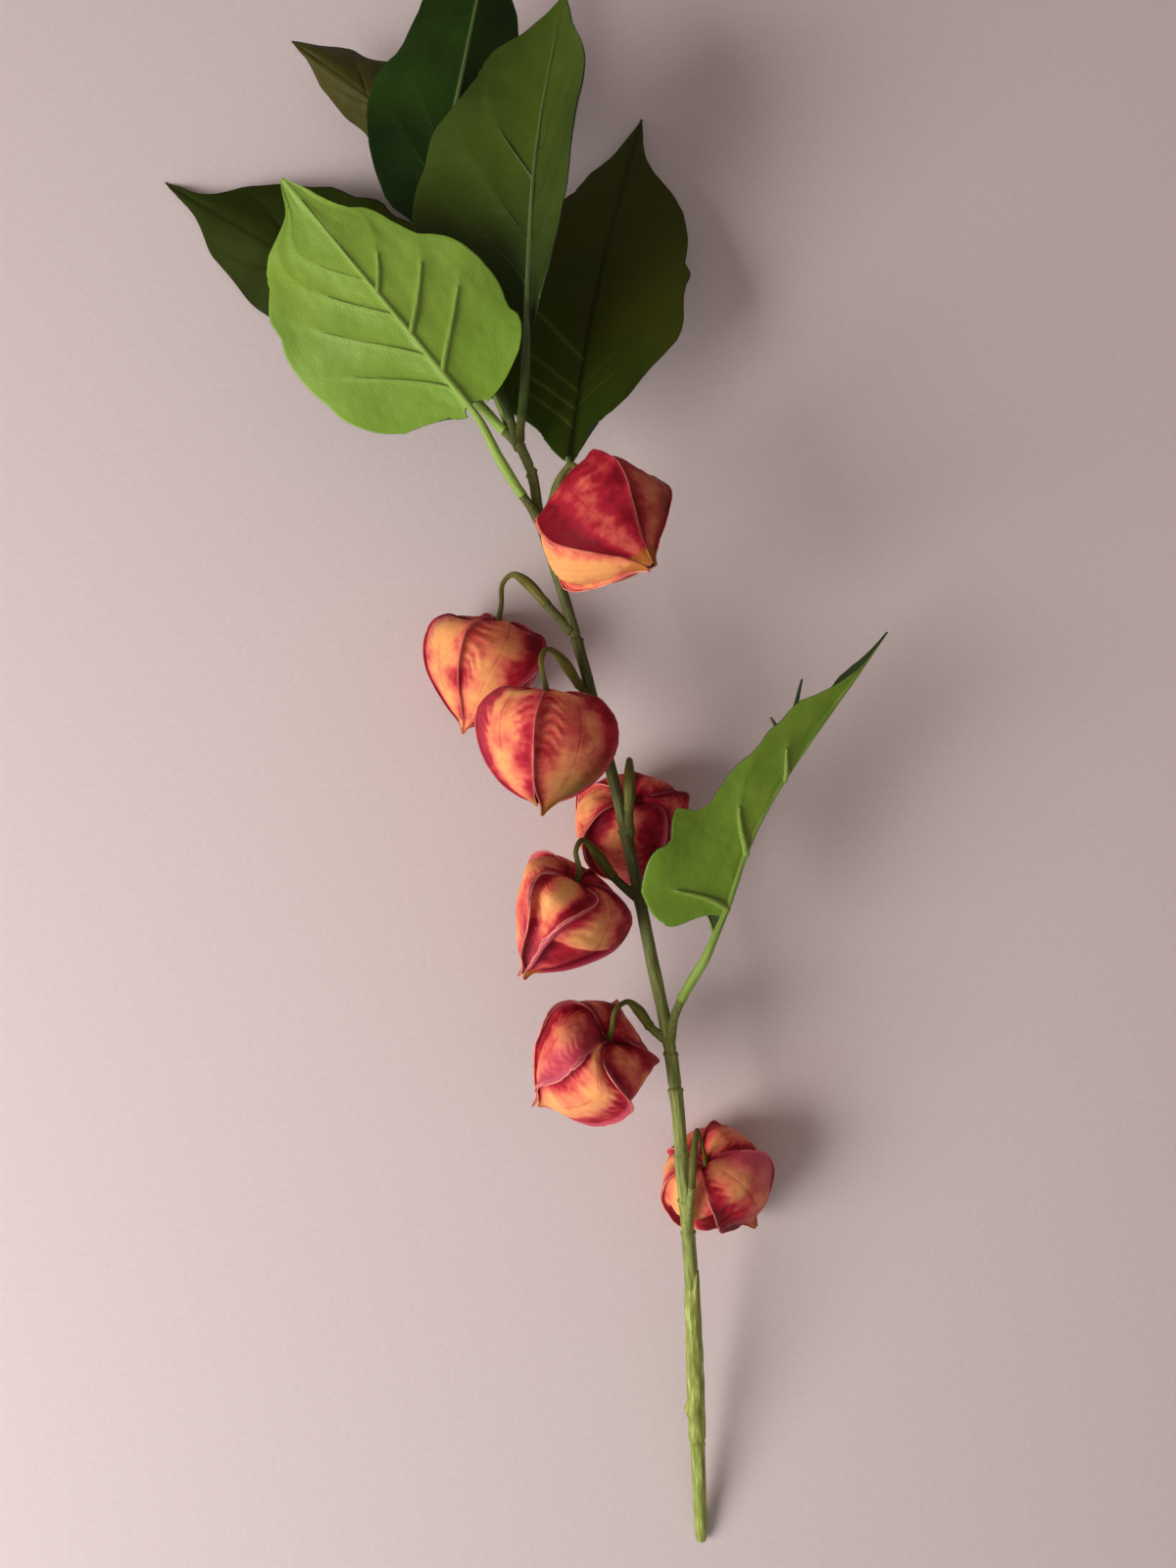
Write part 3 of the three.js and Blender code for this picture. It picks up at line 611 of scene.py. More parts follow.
@dataclass(frozen=True)
class PetalFinish:
    """Dyed paper-like petals: a yellow heart that reddens to dark edges, mauve lips, ochre tips, with
    painted shade in hollows and creases that the tone mark brings.

    steps are the rednesses at which heart, warm, blush, edge and shade are reached, once pale has
    been taken off.
    """

    heart: Colour = srgb(241, 164, 98)
    warm: Colour = srgb(234, 132, 92)
    blush: Colour = srgb(214, 90, 76)
    edge: Colour = srgb(176, 32, 48)
    shade: Colour = srgb(122, 8, 26)
    steps: tuple[float, ...] = (0.0, 0.24, 0.45, 0.68, 1.0)
    pale: float = 0.33
    rim: Colour = srgb(236, 150, 132)
    mauve: Colour = srgb(204, 92, 108)
    tip: Colour = srgb(168, 104, 36)
    olive: Colour = srgb(128, 104, 46)
    vein: Colour = srgb(150, 34, 32)

    def make(self, groups: SharedGroups) -> bpy.types.Material:
        """Makes the material of the petals' faces."""
        finish = Finish("lantern_petal", 0.55, 0.1)
        recipe = finish.recipe
        split = finish.along(finish.surface)
        u, v = split["X"], split["Y"]
        mottle = finish.mottle(groups, 90.0, 900.0)
        patches = mottle["Patches"]
        middle = recipe.sum("ABSOLUTE", recipe.sum("SUBTRACT", u, 0.5))
        edge = recipe.times(middle, 2.0)
        lateral = recipe.noise(recipe.mapped(finish.surface, (3.0, 22.0, 1.0)), 1.0, 4.0, 0.62)
        redness: Value = 0.0
        # the tone mark brings the dye together with the painted light and shade of the petals' hollows,
        # creases and tucks
        for source, share in ((recipe.ranged(edge, 0.15, 1.0), 0.55), (recipe.mark("tone"), 0.5),
                              (patches, 0.4), (lateral, 0.5), (recipe.ranged(v, 0.3, 0.02), 0.55)):
            redness = recipe.times(source, share, redness)
        dyes = (self.heart, self.warm, self.blush, self.edge, self.shade)
        dyed = recipe.ramp(recipe.sum("SUBTRACT", redness, self.pale), list(zip(self.steps, dyes)))
        low = recipe.ranged(recipe.times(patches, 0.1, v), 0.94, 1.04)
        line = recipe.times(recipe.ranged(middle, 0.016, 0.002), patches)
        flecks = recipe.times(mottle["Specks"], recipe.ranged(v, 0.35, 0.8))
        finish.colour(recipe.tints(dyed, (
            (self.mauve, recipe.mark("mauve"), 0.8), (self.olive, recipe.mark("olive"), 0.8),
            (self.tip, low, 0.85), (self.vein, line, 0.6), (self.vein, flecks, 0.5),
            (self.rim, recipe.ranged(edge, 0.975, 0.995), 1.0),
        )))
        finish.rough(patches, 0.45, 0.65)
        finish.relief(recipe.times(lateral, 0.8, recipe.times(mottle["Grain"], 0.2)), 0.6, 0.0006)
        return finish.material

    def make_edge(self, groups: SharedGroups) -> bpy.types.Material:
        """Makes the pale material of the petals' cut edges."""
        finish = Finish("lantern_petal_edge", 0.7)
        mottle = finish.mottle(groups, 160.0, 900.0)
        finish.colour(finish.recipe.tints(self.rim, ((self.edge, mottle["Patches"], 0.7),)))
        finish.relief(mottle["Grain"], 0.3, 0.0002)
        return finish.material


@dataclass(frozen=True)
class StemFinish:
    """Moulded plastic with fine lines along it, whose green changes along the stem, and, where given, a
    painted highlight on its brightest lines.
    """

    name: str
    light: Colour
    dark: Colour
    lines: float = 13.0
    length: float = 22.0
    roughness: float = 0.5
    ladder: tuple[tuple[float, Colour], ...] = ()
    painted_highlight: Colour | None = None

    def make(self, groups: SharedGroups) -> bpy.types.Material:
        """Makes the material."""
        finish = Finish(self.name, self.roughness)
        recipe = finish.recipe
        streaks = finish.group(groups.streaks, {
            "Vector": finish.surface, "Lines": self.lines, "Length": self.length,
        })["Streaks"]
        mottle = finish.mottle(groups, 140.0, 1300.0)
        light: Value = self.light
        if self.ladder:
            height = recipe.ranged(finish.along(finish.place)["Y"], -LADDER_REACH, LADDER_REACH)
            light = recipe.ramp(height, self.ladder)
        layers: list[Layer] = [(self.dark, recipe.sum("SUBTRACT", 1.0, streaks), 0.7)]
        # painted highlight: pale streaks on the brightest lines, where light catches the plastic
        if self.painted_highlight:
            layers.append((self.painted_highlight, recipe.ranged(streaks, 0.72, 1.0), 0.6))
        layers += [(self.dark, mottle["Specks"], 0.5), (self.light, mottle["Patches"], 0.25)]
        finish.colour(recipe.tints(light, layers))
        finish.rough(streaks, 0.62, self.roughness - 0.06)
        finish.relief(recipe.times(streaks, 0.8, recipe.times(mottle["Grain"], 0.2)), 0.7, 0.0004)
        return finish.material


@dataclass(frozen=True)
class BladeFinish:
    """One side of a leaf's blade: satin plastic with pale veins and a net of fine cells."""

    name: str
    light: Colour
    dark: Colour
    vein: Colour
    side_vein: Colour
    low: Colour
    roughness: float = 0.42
    gloss: float = 0.3

    def make(self, groups: SharedGroups) -> bpy.types.Material:
        """Makes the material."""
        finish = Finish(self.name, self.roughness, self.gloss)
        recipe = finish.recipe
        mottle = finish.mottle(groups, 28.0, 500.0)
        cells = recipe.node("ShaderNodeTexVoronoi", {"Vector": finish.place, "Scale": 620.0},
                            feature="DISTANCE_TO_EDGE").outputs["Distance"]
        base = recipe.ranged(finish.along(finish.surface)["Y"], 0.62, 0.2)
        finish.colour(recipe.tints(self.light, (
            (self.dark, mottle["Patches"], 0.8), (self.low, base, 0.8),
            (self.side_vein, recipe.mark("side_vein"), 0.7), (self.vein, recipe.mark("vein"), 0.85),
            (self.dark, mottle["Specks"], 0.18),
        )))
        finish.rough(mottle["Patches"], self.roughness - 0.05, self.roughness + 0.1)
        height = recipe.times(recipe.ranged(cells, 0.0, 0.25), 0.5, recipe.times(mottle["Grain"], 0.3))
        finish.relief(height, 0.25, 0.0003)
        return finish.material


@dataclass
class Palette:
    """Every material that the pieces share, made once."""

    groups: SharedGroups
    petal: bpy.types.Material
    petal_edge: bpy.types.Material
    stem: bpy.types.Material
    sleeve: bpy.types.Material
    foot: bpy.types.Material
    stalk: bpy.types.Material


def make_palette() -> Palette:
    """Makes the shared groups and materials.

    Returns:
        The palette that the pieces are dressed from.
    """
    groups = SharedGroups(mottling_group(), streaks_group())
    ladder = (
        (0.0, srgb(166, 174, 84)), (0.16, srgb(164, 172, 86)), (0.3, srgb(122, 128, 56)),
        (0.42, srgb(80, 78, 28)), (0.6, srgb(78, 78, 26)), (0.75, srgb(100, 104, 40)),
        (1.0, srgb(120, 128, 56)),
    )
    return Palette(
        groups=groups,
        petal=PetalFinish().make(groups),
        petal_edge=PetalFinish().make_edge(groups),
        stem=StemFinish("stem_plastic", srgb(116, 122, 52), srgb(44, 40, 10), ladder=ladder).make(groups),
        sleeve=StemFinish("sleeve_plastic", srgb(168, 174, 82), srgb(80, 80, 24), length=7.0,
                          painted_highlight=srgb(206, 212, 132)).make(groups),
        foot=StemFinish("foot_plastic", srgb(162, 172, 80), srgb(84, 92, 28), length=3.5,
                        painted_highlight=srgb(204, 212, 132)).make(groups),
        stalk=StemFinish("stalk_plastic", srgb(106, 102, 28), srgb(54, 46, 8),
                         lines=12.0, length=5.0).make(groups),
    )


# ---- Stem ----------------------------------------------------------------------------------

STEM_SEAM = 0.15  # half the gap between two stem sections, in mm
COLLAR_REACH = 9  # mm from a collar's ring to where it no longer shows


@dataclass
class Stem:
    """The three plugged-together sections of the stem, its collars and its branch stubs.

    Lengths, and the collars' places from the cut foot, are in mm. A leaf's scar on the sleeve is a
    share of its length, a width, a rise in mm, a turn in radians and how closely it keeps to it.
    """

    route: Sequence[Point] = (
        (46.5, -309, 1.9), (44.5, -276, 11.5), (43, -249, 19), (41, -209.5, 29.5),
        (39, -180.5, 37), (36, -148.5, 43.5), (33, -115.5, 47), (30, -95, 48.5), (24, -66, 49.5),
        (16.5, -29.5, 50.5), (8, 7.5, 52), (-3.5, 51, 54), (-11, 76, 56), (-18, 99, 58),
        (-20.5, 113.5, 59), (-26, 126.5, 60),
    )
    foot_length: float = 49.0
    middle_length: float = 74.0
    plug: float = 3.0
    foot: Profile = Profile(((0, 2.1), (0.2, 2.7), (1, 2.95)), 0.18,
                            rings=((0.96, 0.02, 0.15), (1, 0.012, -1.0)))
    middle: Profile = Profile(((0, 3.3), (0.3, 3.65), (1, 3.0)), 0.26, (1,), ((0, 0.009, -1.0),))
    upper: Profile = Profile(((0, 2.65), (1, 1.9)), 0.17)
    stub_radii: tuple[float, float] = (1.9, 1.55)
    scars: Sequence[tuple[float, float, float, float, int]] = (
        (0.2, 0.035, 1.3, 1.7, 2), (0.27, 0.05, 0.5, 2.9, 3),
    )
    collars: Sequence[float] = (143, 156, 175, 200, 214, 275, 300, 373, 436)
    collar_rise: float = 0.45
    collar_tilt: float = 0.6
    stub_flare: float = 0.5
    stub_lip: float = 0.22

    def __post_init__(self) -> None:
        """Works out the centre line once."""
        self.line = Route(self.route)

    def share(self, distance: float) -> float:
        """The share of the stem's length at a distance from its cut foot."""
        return distance / self.line.length

    def foot_radius(self, share: float, turn: float) -> float:
        """The foot's radius: a blunt, slightly uneven taper at the cut end."""
        return self.foot.uneven(share, share * self.foot_length, turn)

    def middle_radius(self, share: float, turn: float) -> float:
        """The middle section's radius: swollen near its lower end, with two leaf scars."""
        radius = self.middle.uneven(share, self.foot_length + share * self.middle_length, turn)
        for place, width, rise, side, narrow in self.scars:
            radius += rise * bump(share, place, width) * (0.5 + 0.5 * math.cos(turn - side)) ** narrow
        return radius - 0.6 * smooth(share, 0.88, 1.0) * (1 - self.tongue(turn))

    @staticmethod
    def tongue(turn: float) -> float:
        """How strongly the sleeve's lip stands up at an angle round the stem, from 0 to 1."""
        return smooth(turn, 2.9, 4.2) - smooth(turn, 5.0, 5.6)

    def upper_radius(self, share: float, turn: float) -> float:
        """The upper section's radius, with its raised collars."""
        below = self.foot_length + self.middle_length - self.plug
        distance = below + share * (self.line.length - below)
        radius = self.upper.uneven(share, distance, turn)
        for number, collar in enumerate(self.collars):
            away = distance - collar + self.collar_tilt * math.cos(turn + number * 2.1)
            if abs(distance - collar) < COLLAR_REACH:
                radius += self.collar_rise * bump(away, 0.0, 0.6) - 0.3 * bump(away, 1.5, 0.6)
                radius += 0.15 * smooth(away, -6.0, -0.3) * (1 - smooth(away, 0.0, 0.5))
        return radius

    def sleeve_shift(self, share: float, turn: float) -> float:
        """How the wrapped sleeve's upper lip runs slantwise round the stem."""
        return 5.5 * (self.tongue(turn) - 0.35) * smooth(share, 0.86, 1.0)

    def build(self, stubs: Sequence[tuple[Route, float, float]], palette: Palette) -> None:
        """Builds and dresses the foot, the middle sleeve and the upper stem.

        Args:
            stubs: The route of every stalk and petiole, how far along it its stub ends and how
                thick the stub is, as a share of the usual.
            palette: The shared materials.
        """
        foot_end = self.share(self.foot_length - STEM_SEAM)
        middle_start = self.share(self.foot_length + STEM_SEAM)
        middle_end = self.share(self.foot_length + self.middle_length)
        foot = Tube(self.line, self.foot_radius, 0.0, foot_end, 36, 120, Cap(0.45, 6))
        piece("cut_foot", foot.net(), [palette.foot], ["stem_foot"])
        middle = Tube(self.line, self.middle_radius, middle_start, middle_end, 36, 180,
                      Cap(0.1, 4), self.sleeve_shift)
        piece("middle_sleeve", middle.net(), [palette.sleeve], ["stem_middle"])
        inside = middle_end - self.share(self.plug)
        nets = [Tube(self.line, self.upper_radius, inside, 1.0, 32, 900, Cap(0.5, 4)).net()]
        nets.extend(self.stub(*stub) for stub in stubs)
        piece("main_stem", gathered(nets), [palette.stem], ["stem_upper"])

    def stub(self, route: Route, length: float, thick: float) -> bmesh.types.BMesh:
        """A branch stub: flared where it leaves the stem, with a lip at its end."""
        root, end = (radius * thick for radius in self.stub_radii)
        profile = Profile(((0, root), (1, end)), 0.06, rings=((0.97, 0.05, self.stub_lip),))

        def radius(share: float, turn: float) -> float:
            flare = self.stub_flare * thick * (1 - smooth(share, 0.0, 0.6))
            return profile.uneven(share, share * length, turn) + flare

        return Tube(route, radius, 0.0, length / route.length, 24, 40, Cap(0.2, 3)).net()


# ---- Lanterns ------------------------------------------------------------------------------

RECESS_HEIGHT = 0.48
TIP_HEIGHT = -1.2
OUTLINE_RADII = (0, 0.13, 0.34, 0.68, 0.95, 1, 0.91, 0.69, 0.34, 0)
OUTLINE_HEIGHTS = (0.48, 0.51, 0.64, 0.62, 0.36, 0.02, -0.36, -0.7, -1, -1.2)
PETAL_CROWN = 0.42
FLAT_HALF = 0.8  # half the widest turn, in radians, over which a petal is drawn flat
PINCH = (0.2, 0.9)  # heights below the belly between which a tip draws in
SHOULDER = (0.24, 0.09)  # where the shoulder is along the outline, and how wide
PETAL_START, PETAL_END = 0.035, 0.965  # where a petal's net starts and ends along the outline
CLOSING_START = 0.84  # share of a petal's net from which it closes to its tip
TIP_NARROWING = 0.8  # share of a petal's width that is gone at its tip
TIP_RADIUS = 0.6  # a closed tip's radius in mm, and how much wider it is per mm of free tip
TIP_SPREAD = 0.5
LIP_SHARE = 0.075  # share of a petal's net, at each side, that stands up as its seam's lip
EDGE_RISE = 0.8  # mm by which a petal swells towards its seams
MIDRIB_DEPTH, MIDRIB_WIDTH = 0.1, 0.6  # a petal's middle groove, in mm
PUCKER_DEPTH = 0.34  # mm
PETAL_COLUMNS, PETAL_ROWS = 60, 84
PETAL_SKIN = 0.42  # a petal's thickness in mm
STATIONS = (0.25, 0.45, 0.65, 0.9)  # shares of the outline at which a seam's turn is given
HOLLOW_REACH = 1.9  # mm from a lip to the deepest line of the hollow beside it
STALK_STATIONS = (0, 0.2, 0.5, 0.75, 1)  # a stalk's sleeve, swelling, thin arch from to, and end


def outline_at(share: float) -> tuple[float, float]:
    """Reads a lantern's outline: radius and height for a share from recess to tip."""
    along = (len(OUTLINE_RADII) - 1) * clamp(share)
    index = min(int(along), len(OUTLINE_RADII) - 2)
    weight = along - index
    return through(OUTLINE_RADII, index, weight), through(OUTLINE_HEIGHTS, index, weight)


@dataclass(frozen=True)
class Seam:
    """Where two petals meet in a standing lip.

    turns are its angles about the axis, in degrees, at the four stations; lean is how far the lip
    leans over the next petal, in radians (negative: over the one before); lip is how wide it is,
    sink how deep the overlapped petal lies beside it and split how far each of its petals stands
    away from it at the tip, all in mm.
    """

    turns: tuple[float, float, float, float]
    lean: float = 0.9
    lip: float = 1.3
    sink: float = 1.3
    split: float = 0.0

    def turn(self, ring: float) -> float:
        """The seam's angle in degrees at a share of the outline."""
        if ring <= STATIONS[0]:
            return self.turns[0]
        if ring >= STATIONS[-1]:
            return self.turns[-1]
        index = next(i for i in range(3) if ring <= STATIONS[i + 1])
        low, high = STATIONS[index], STATIONS[index + 1]
        return through(self.turns, index, (ring - low) / (high - low))


@dataclass(frozen=True)
class Petal:
    """One petal: how red it is dyed, how far it swells, its free tip's length and any tucked edge.

    tuck is the share of the outline at which the petal's own lower edge steps inwards, and tucked
    how deep that step is in mm.
    """

    tone: float = 0.0
    bulge: float = 0.6
    tip: float = 1.0
    tuck: float = 2.0
    tucked: float = 0.0


@dataclass(frozen=True)
class Stain:
    """A soft patch of dye on a petal, except for two of lantern 7's, which lighten places in shade as
    painted light: its place and spread over the petal's net, and its strength.
    """

    petal: int
    u: float
    v: float
    wide: float
    high: float
    tone: float = 0.0
    olive: float = 0.0
    mauve: float = 0.0

    def at(self, u: float, v: float) -> float:
        """How strong the patch is at a place on the petal."""
        return math.exp(-(((u - self.u) / self.wide) ** 2 + ((v - self.v) / self.high) ** 2))


@dataclass(frozen=True)
class Bulge:
    """A place where the whole lantern stands out (or, below 0, sinks in), across petals and seams.

    turn and wide are in degrees about the axis, and ring and high are shares of the outline. rise
    is how far it stands out, and drop how far it moves towards the tip, both in mm.
    """

    turn: float
    ring: float
    wide: float
    high: float
    rise: float
    drop: float = 0.0

    def at(self, turn: float, ring: float) -> float:
        """How strong it is, from 0 to 1, at an angle in degrees and a share of the outline."""
        away = (turn - self.turn + 180) % 360 - 180
        return math.exp(-((away / self.wide) ** 2 + ((ring - self.ring) / self.high) ** 2))


@dataclass
class Lantern:
    """One lantern: its hooked stalk and five petals that meet in standing seams."""

    number: int
    route: Sequence[Point]
    stub: float
    base: Point
    tip: Point
    radius: float
    belly: Point
    pinch: float
    seams: Sequence[Seam]
    petals: Sequence[Petal]
    stains: Sequence[Stain] = ()
    bulges: Sequence[Bulge] = ()
    mauve: float = 0.25
    stalk_radii: tuple[float, float, float, float] = (1.75, 2.1, 0.95, 1.2)
    stalk_seat: float = 0.6
    seat_shift: Point = (0, 0, 0)
    stub_thick: float = 1.0

    def __post_init__(self) -> None:
        """Works out the lantern's own directions and its stalk's centre line."""
        axis = Vector(self.tip) - Vector(self.base)
        self.scale = axis.length / (RECESS_HEIGHT - TIP_HEIGHT)
        axis.normalize()
        upward = upright(axis)
        self.ways = Directions(axis, upward, upward.cross(axis))
        seat = Vector(self.base) - axis * self.stalk_seat + Vector(self.seat_shift)
        self.line = Route([*self.route, tuple(seat)])
        sleeve, swell, arch, end = self.stalk_radii
        stations = tuple(zip(STALK_STATIONS, (sleeve, swell, arch, arch, end)))
        self.stalk = Profile(stations, 0.09, (1, 2, 4), ((0.012, 0.018, 0.25),))

    def seam(self, index: int) -> Seam:
        """A seam by its number, counted round and round."""
        return self.seams[index % len(self.seams)]

    def turns(self, petal: int, ring: float) -> tuple[float, float]:
        """The angles between which a petal lies, in radians."""
        start = self.seam(petal).turn(ring)
        end = self.seam(petal + 1).turn(ring)
        if end < start:
            end += 360
        return math.radians(start), math.radians(end)

    def seed(self, petal: int) -> float:
        """A petal's own place in the noise."""
        return self.number * 7.3 + petal * 3.1

    def puckers(self, petal: int, share: float, v: float) -> float:
        """The small creases beside the seams, from -1 to 1."""
        out = abs(2 * share - 1)
        seed = self.seed(petal)
        drift = noise.noise(Vector((v * 5, share * 4, seed)))
        wave = math.sin(2 * math.pi * (v * 17 + out * 1.1 + 1.5 * drift) + seed)
        patch = clamp(0.55 + 1.3 * noise.noise(Vector((share * 3, v * 3.2, seed + 5))))
        window = bump(out, 0.64, 0.27) * smooth(v, 0.05, 0.2) * (1 - smooth(v, 0.5, 0.8))
        return wave * patch * window

    def hollows(self, petal: int, share: float, width: float) -> tuple[float, float]:
        """How deep the petal lies beside each of its two seams, in mm, where it is overlapped.

        Args:
            petal: Which petal.
            share: 0 at its first seam and 1 at its second.
            width: How wide the petal is here, in mm.

        Returns:
            The depth beside the first seam and beside the second.
        """
        depths = []
        for seam, away, under in ((self.seam(petal), share, 1), (self.seam(petal + 1), 1 - share, -1)):
            near = away * width / HOLLOW_REACH
            depth = seam.sink * near * math.exp(1 - near) if seam.lean * under > 0 else 0.0
            depths.append(depth)
        return depths[0], depths[1]

    def petal_radius(self, petal: int, share: float, v: float) -> float:
        """How far a petal's face stands from the axis, in mm, but for what crosses the petals.

        Args:
            petal: Which petal, from 0.
            share: 0 at its first seam and 1 at its second.
            v: 0 at the recess and 1 at the tip.

        Returns:
            The distance in mm.
        """
        form, seed = self.petals[petal], self.seed(petal)
        ring = mix(PETAL_START, PETAL_END, v)
        width, height = outline_at(ring)
        start, end = self.turns(petal, ring)
        round_ = max(width, 0) * self.radius
        across = (end - start) * max(round_, 1.0)
        fullness = math.sin(math.pi * clamp(ring))
        out = abs(2 * share - 1)
        half = min((end - start) / 2, FLAT_HALF)
        flat = mix(math.cos(half) / math.cos(half * (2 * share - 1)), 1, PETAL_CROWN)
        radius = round_ * flat * (1 - self.pinch * smooth(-height, *PINCH))
        radius += fullness * (EDGE_RISE * out ** 8 + form.bulge * (1 - out * out))
        radius -= MIDRIB_DEPTH * fullness * bump((share - 0.5) * across, 0, MIDRIB_WIDTH)
        radius -= sum(self.hollows(petal, share, across)) * fullness ** 0.6
        step = 0.3 * bump(ring, form.tuck - 0.02, 0.04) - smooth(ring, form.tuck, form.tuck + 0.035)
        radius += form.tucked * step * (1 - smooth(out, 0.9, 1))
        radius += PUCKER_DEPTH * self.puckers(petal, share, v)
        broad = noise.noise(Vector((share * 2.2 + seed, v * 2.6, seed * 0.7)))
        fine = noise.noise(Vector((share * 9 + seed, v * 8, seed * 0.7)))
        radius += fullness * (1.2 * broad + 0.25 * fine)
        return radius + 0.8 * bump(ring, *SHOULDER) * math.sin(share * 9 + seed)

    def petal_place(self, petal: int, u: float, v: float) -> Vector:
        """A place on a petal's outer face.

        Args:
            petal: Which petal, from 0.
            u: 0 at one free edge and 1 at the other.
            v: 0 at the recess and 1 at the tip.

        Returns:
            The place in drawing millimetres.
        """
        tip = self.petals[petal].tip
        ring = mix(PETAL_START, PETAL_END, v)
        inside = clamp((u - LIP_SHARE) / (1 - 2 * LIP_SHARE))
        closing = clamp((v - CLOSING_START) / (1 - CLOSING_START)) ** 2
        share = 0.5 + (inside - 0.5) * (1 - TIP_NARROWING * closing ** 3)
        turn = mix(*self.turns(petal, ring), share)
        pushes = [(bulge, bulge.at(math.degrees(turn), ring)) for bulge in self.bulges]
        radius = self.petal_radius(petal, share, v) + sum(bulge.rise * push for bulge, push in pushes)
        radius = mix(radius, TIP_RADIUS + TIP_SPREAD * abs(tip), closing)
        drop = sum(bulge.drop * push for bulge, push in pushes)
        height = outline_at(ring)[1]
        height += 0.035 * bump(ring, *SHOULDER) * math.sin(share * 7 + self.seed(petal) * 1.7)
        span = (RECESS_HEIGHT - TIP_HEIGHT) / 2
        middle = 1 - ((height - RECESS_HEIGHT + span) / span) ** 2
        outward, sideways = self.ways.around(turn)
        place = (Vector(self.base) + self.ways.along * ((RECESS_HEIGHT - height) * self.scale + drop)
                 + Vector(self.belly) * middle + outward * radius)
        place += (self.ways.along * tip + outward * 0.3) * smooth(v, 0.9, 1.0)
        apart = self.seam(petal).split * (1 - share) ** 3 - self.seam(petal + 1).split * share ** 3
        place += sideways * apart * smooth(v, 0.74, 0.96)
        return place + self.lip_offset(petal, u, v, turn)

    def lip_offset(self, petal: int, u: float, v: float, turn: float) -> Vector:
        """How far a petal's free edge stands away from the lantern along its seam."""
        first = u < 0.5
        rise = clamp(1 - (u if first else 1 - u) / LIP_SHARE)
        if rise <= 0:
            return Vector((0, 0, 0))
        number = (petal if first else petal + 1) % len(self.seams)
        seam = self.seam(number)
        outward, sideways = self.ways.around(turn)
        fullness = math.sin(math.pi * mix(PETAL_START, PETAL_END, v))
        seed = self.number * 5.7 + number * 2.3
        lane = 1.7 if first else 4.1
        ruffle = 1 + 0.4 * noise.noise(Vector((v * 9, seed, lane)))
        ruffle += 0.25 * noise.noise(Vector((v * 34, seed, lane)))
        under = first == (seam.lean > 0)
        height = seam.lip * ruffle * fullness ** 0.7 * (0.6 if under else 1.0)
        angle = seam.lean + 0.5 * noise.noise(Vector((v * 5, seed, 0.3)))
        stand = outward * math.cos(angle) + sideways * math.sin(angle)
        apart = PETAL_SKIN * 0.6 * (1 if first else -1)
        return stand * height * rise + sideways * apart * min(rise * 2, 1) * fullness

    def tone(self, petal: int, u: float, v: float) -> float:
        """How red a place on a petal is: its dye, plus painted shade in the hollows beside the seams, in the
        puckers' creases and beyond a tucked step, and painted light on the puckers' ridges. 0 is the usual,
        1 much darker.
        """
        inside = clamp((u - LIP_SHARE) / (1 - 2 * LIP_SHARE))
        ring = mix(PETAL_START, PETAL_END, v)
        start, end = self.turns(petal, ring)
        across = (end - start) * max(outline_at(ring)[0] * self.radius, 1.0)
        form = self.petals[petal]
        # painted light and shade: lighter on the puckers' ridges, darker in their creases
        value = form.tone - 0.22 * self.puckers(petal, inside, v)
        # painted shade in the hollows beside the overlapping lips
        value += 0.16 * sum(self.hollows(petal, inside, across))
        # painted shade on the part beyond a tucked step, which lies under the edge above it
        value += 0.9 * smooth(ring, form.tuck, form.tuck + 0.03)
        return value + self.stained("tone", petal, inside, v)

    def stained(self, kind: str, petal: int, u: float, v: float) -> float:
        """The tone, olive or mauve that the stains give a place on a petal."""
        return sum(getattr(stain, kind) * stain.at(u, v) for stain in self.stains
                   if stain.petal == petal)

    def mauveness(self, petal: int, u: float, v: float) -> float:
        """How mauve a place on a petal is: its lips are, and so are some patches."""
        lips = self.mauve * smooth(abs(2 * u - 1), 0.78, 0.92)
        return clamp(lips + self.stained("mauve", petal, u, v))

    def petal_net(self, petal: int) -> bmesh.types.BMesh:
        """One petal as an open skin that faces outwards."""
        # the tone mark holds the dye together with painted light and shade
        net = sheet(PETAL_COLUMNS, PETAL_ROWS, lambda u, v: self.petal_place(petal, u, v), {
            "tone": lambda u, v: self.tone(petal, u, v),
            "olive": lambda u, v: clamp(self.stained("olive", petal, u, v)),
            "mauve": lambda u, v: self.mauveness(petal, u, v),
        }, PETAL_SKIN)
        bmesh.ops.reverse_faces(net, faces=net.faces)
        return net

    def build_petals(self, palette: Palette) -> None:
        """Builds and dresses the five petals."""
        net = gathered([self.petal_net(petal) for petal in range(len(self.seams))])
        made = piece(f"lantern_{self.number}_petals", net, [palette.petal, palette.petal_edge],
                     [f"lantern_{self.number}"])
        thicken(made, PETAL_SKIN, -1, 0)

    def stalk_radius(self, share: float, turn: float) -> float:
        """The stalk's radius: a sleeve, a swelling, a thin arch and a flared end."""
        return self.stalk.uneven(share, share * 40 + self.number * 9, turn)

    def build_stalk(self, palette: Palette) -> None:
        """Builds and dresses the hooked stalk."""
        start = self.stub / self.line.length
        tube = Tube(self.line, self.stalk_radius, start, 1.0, 24, 140, Cap(0.2, 4))
        piece(f"lantern_{self.number}_stalk", tube.net(), [palette.stalk],
              [f"lantern_stalk_{self.number}"])


# ---- Leaves --------------------------------------------------------------------------------

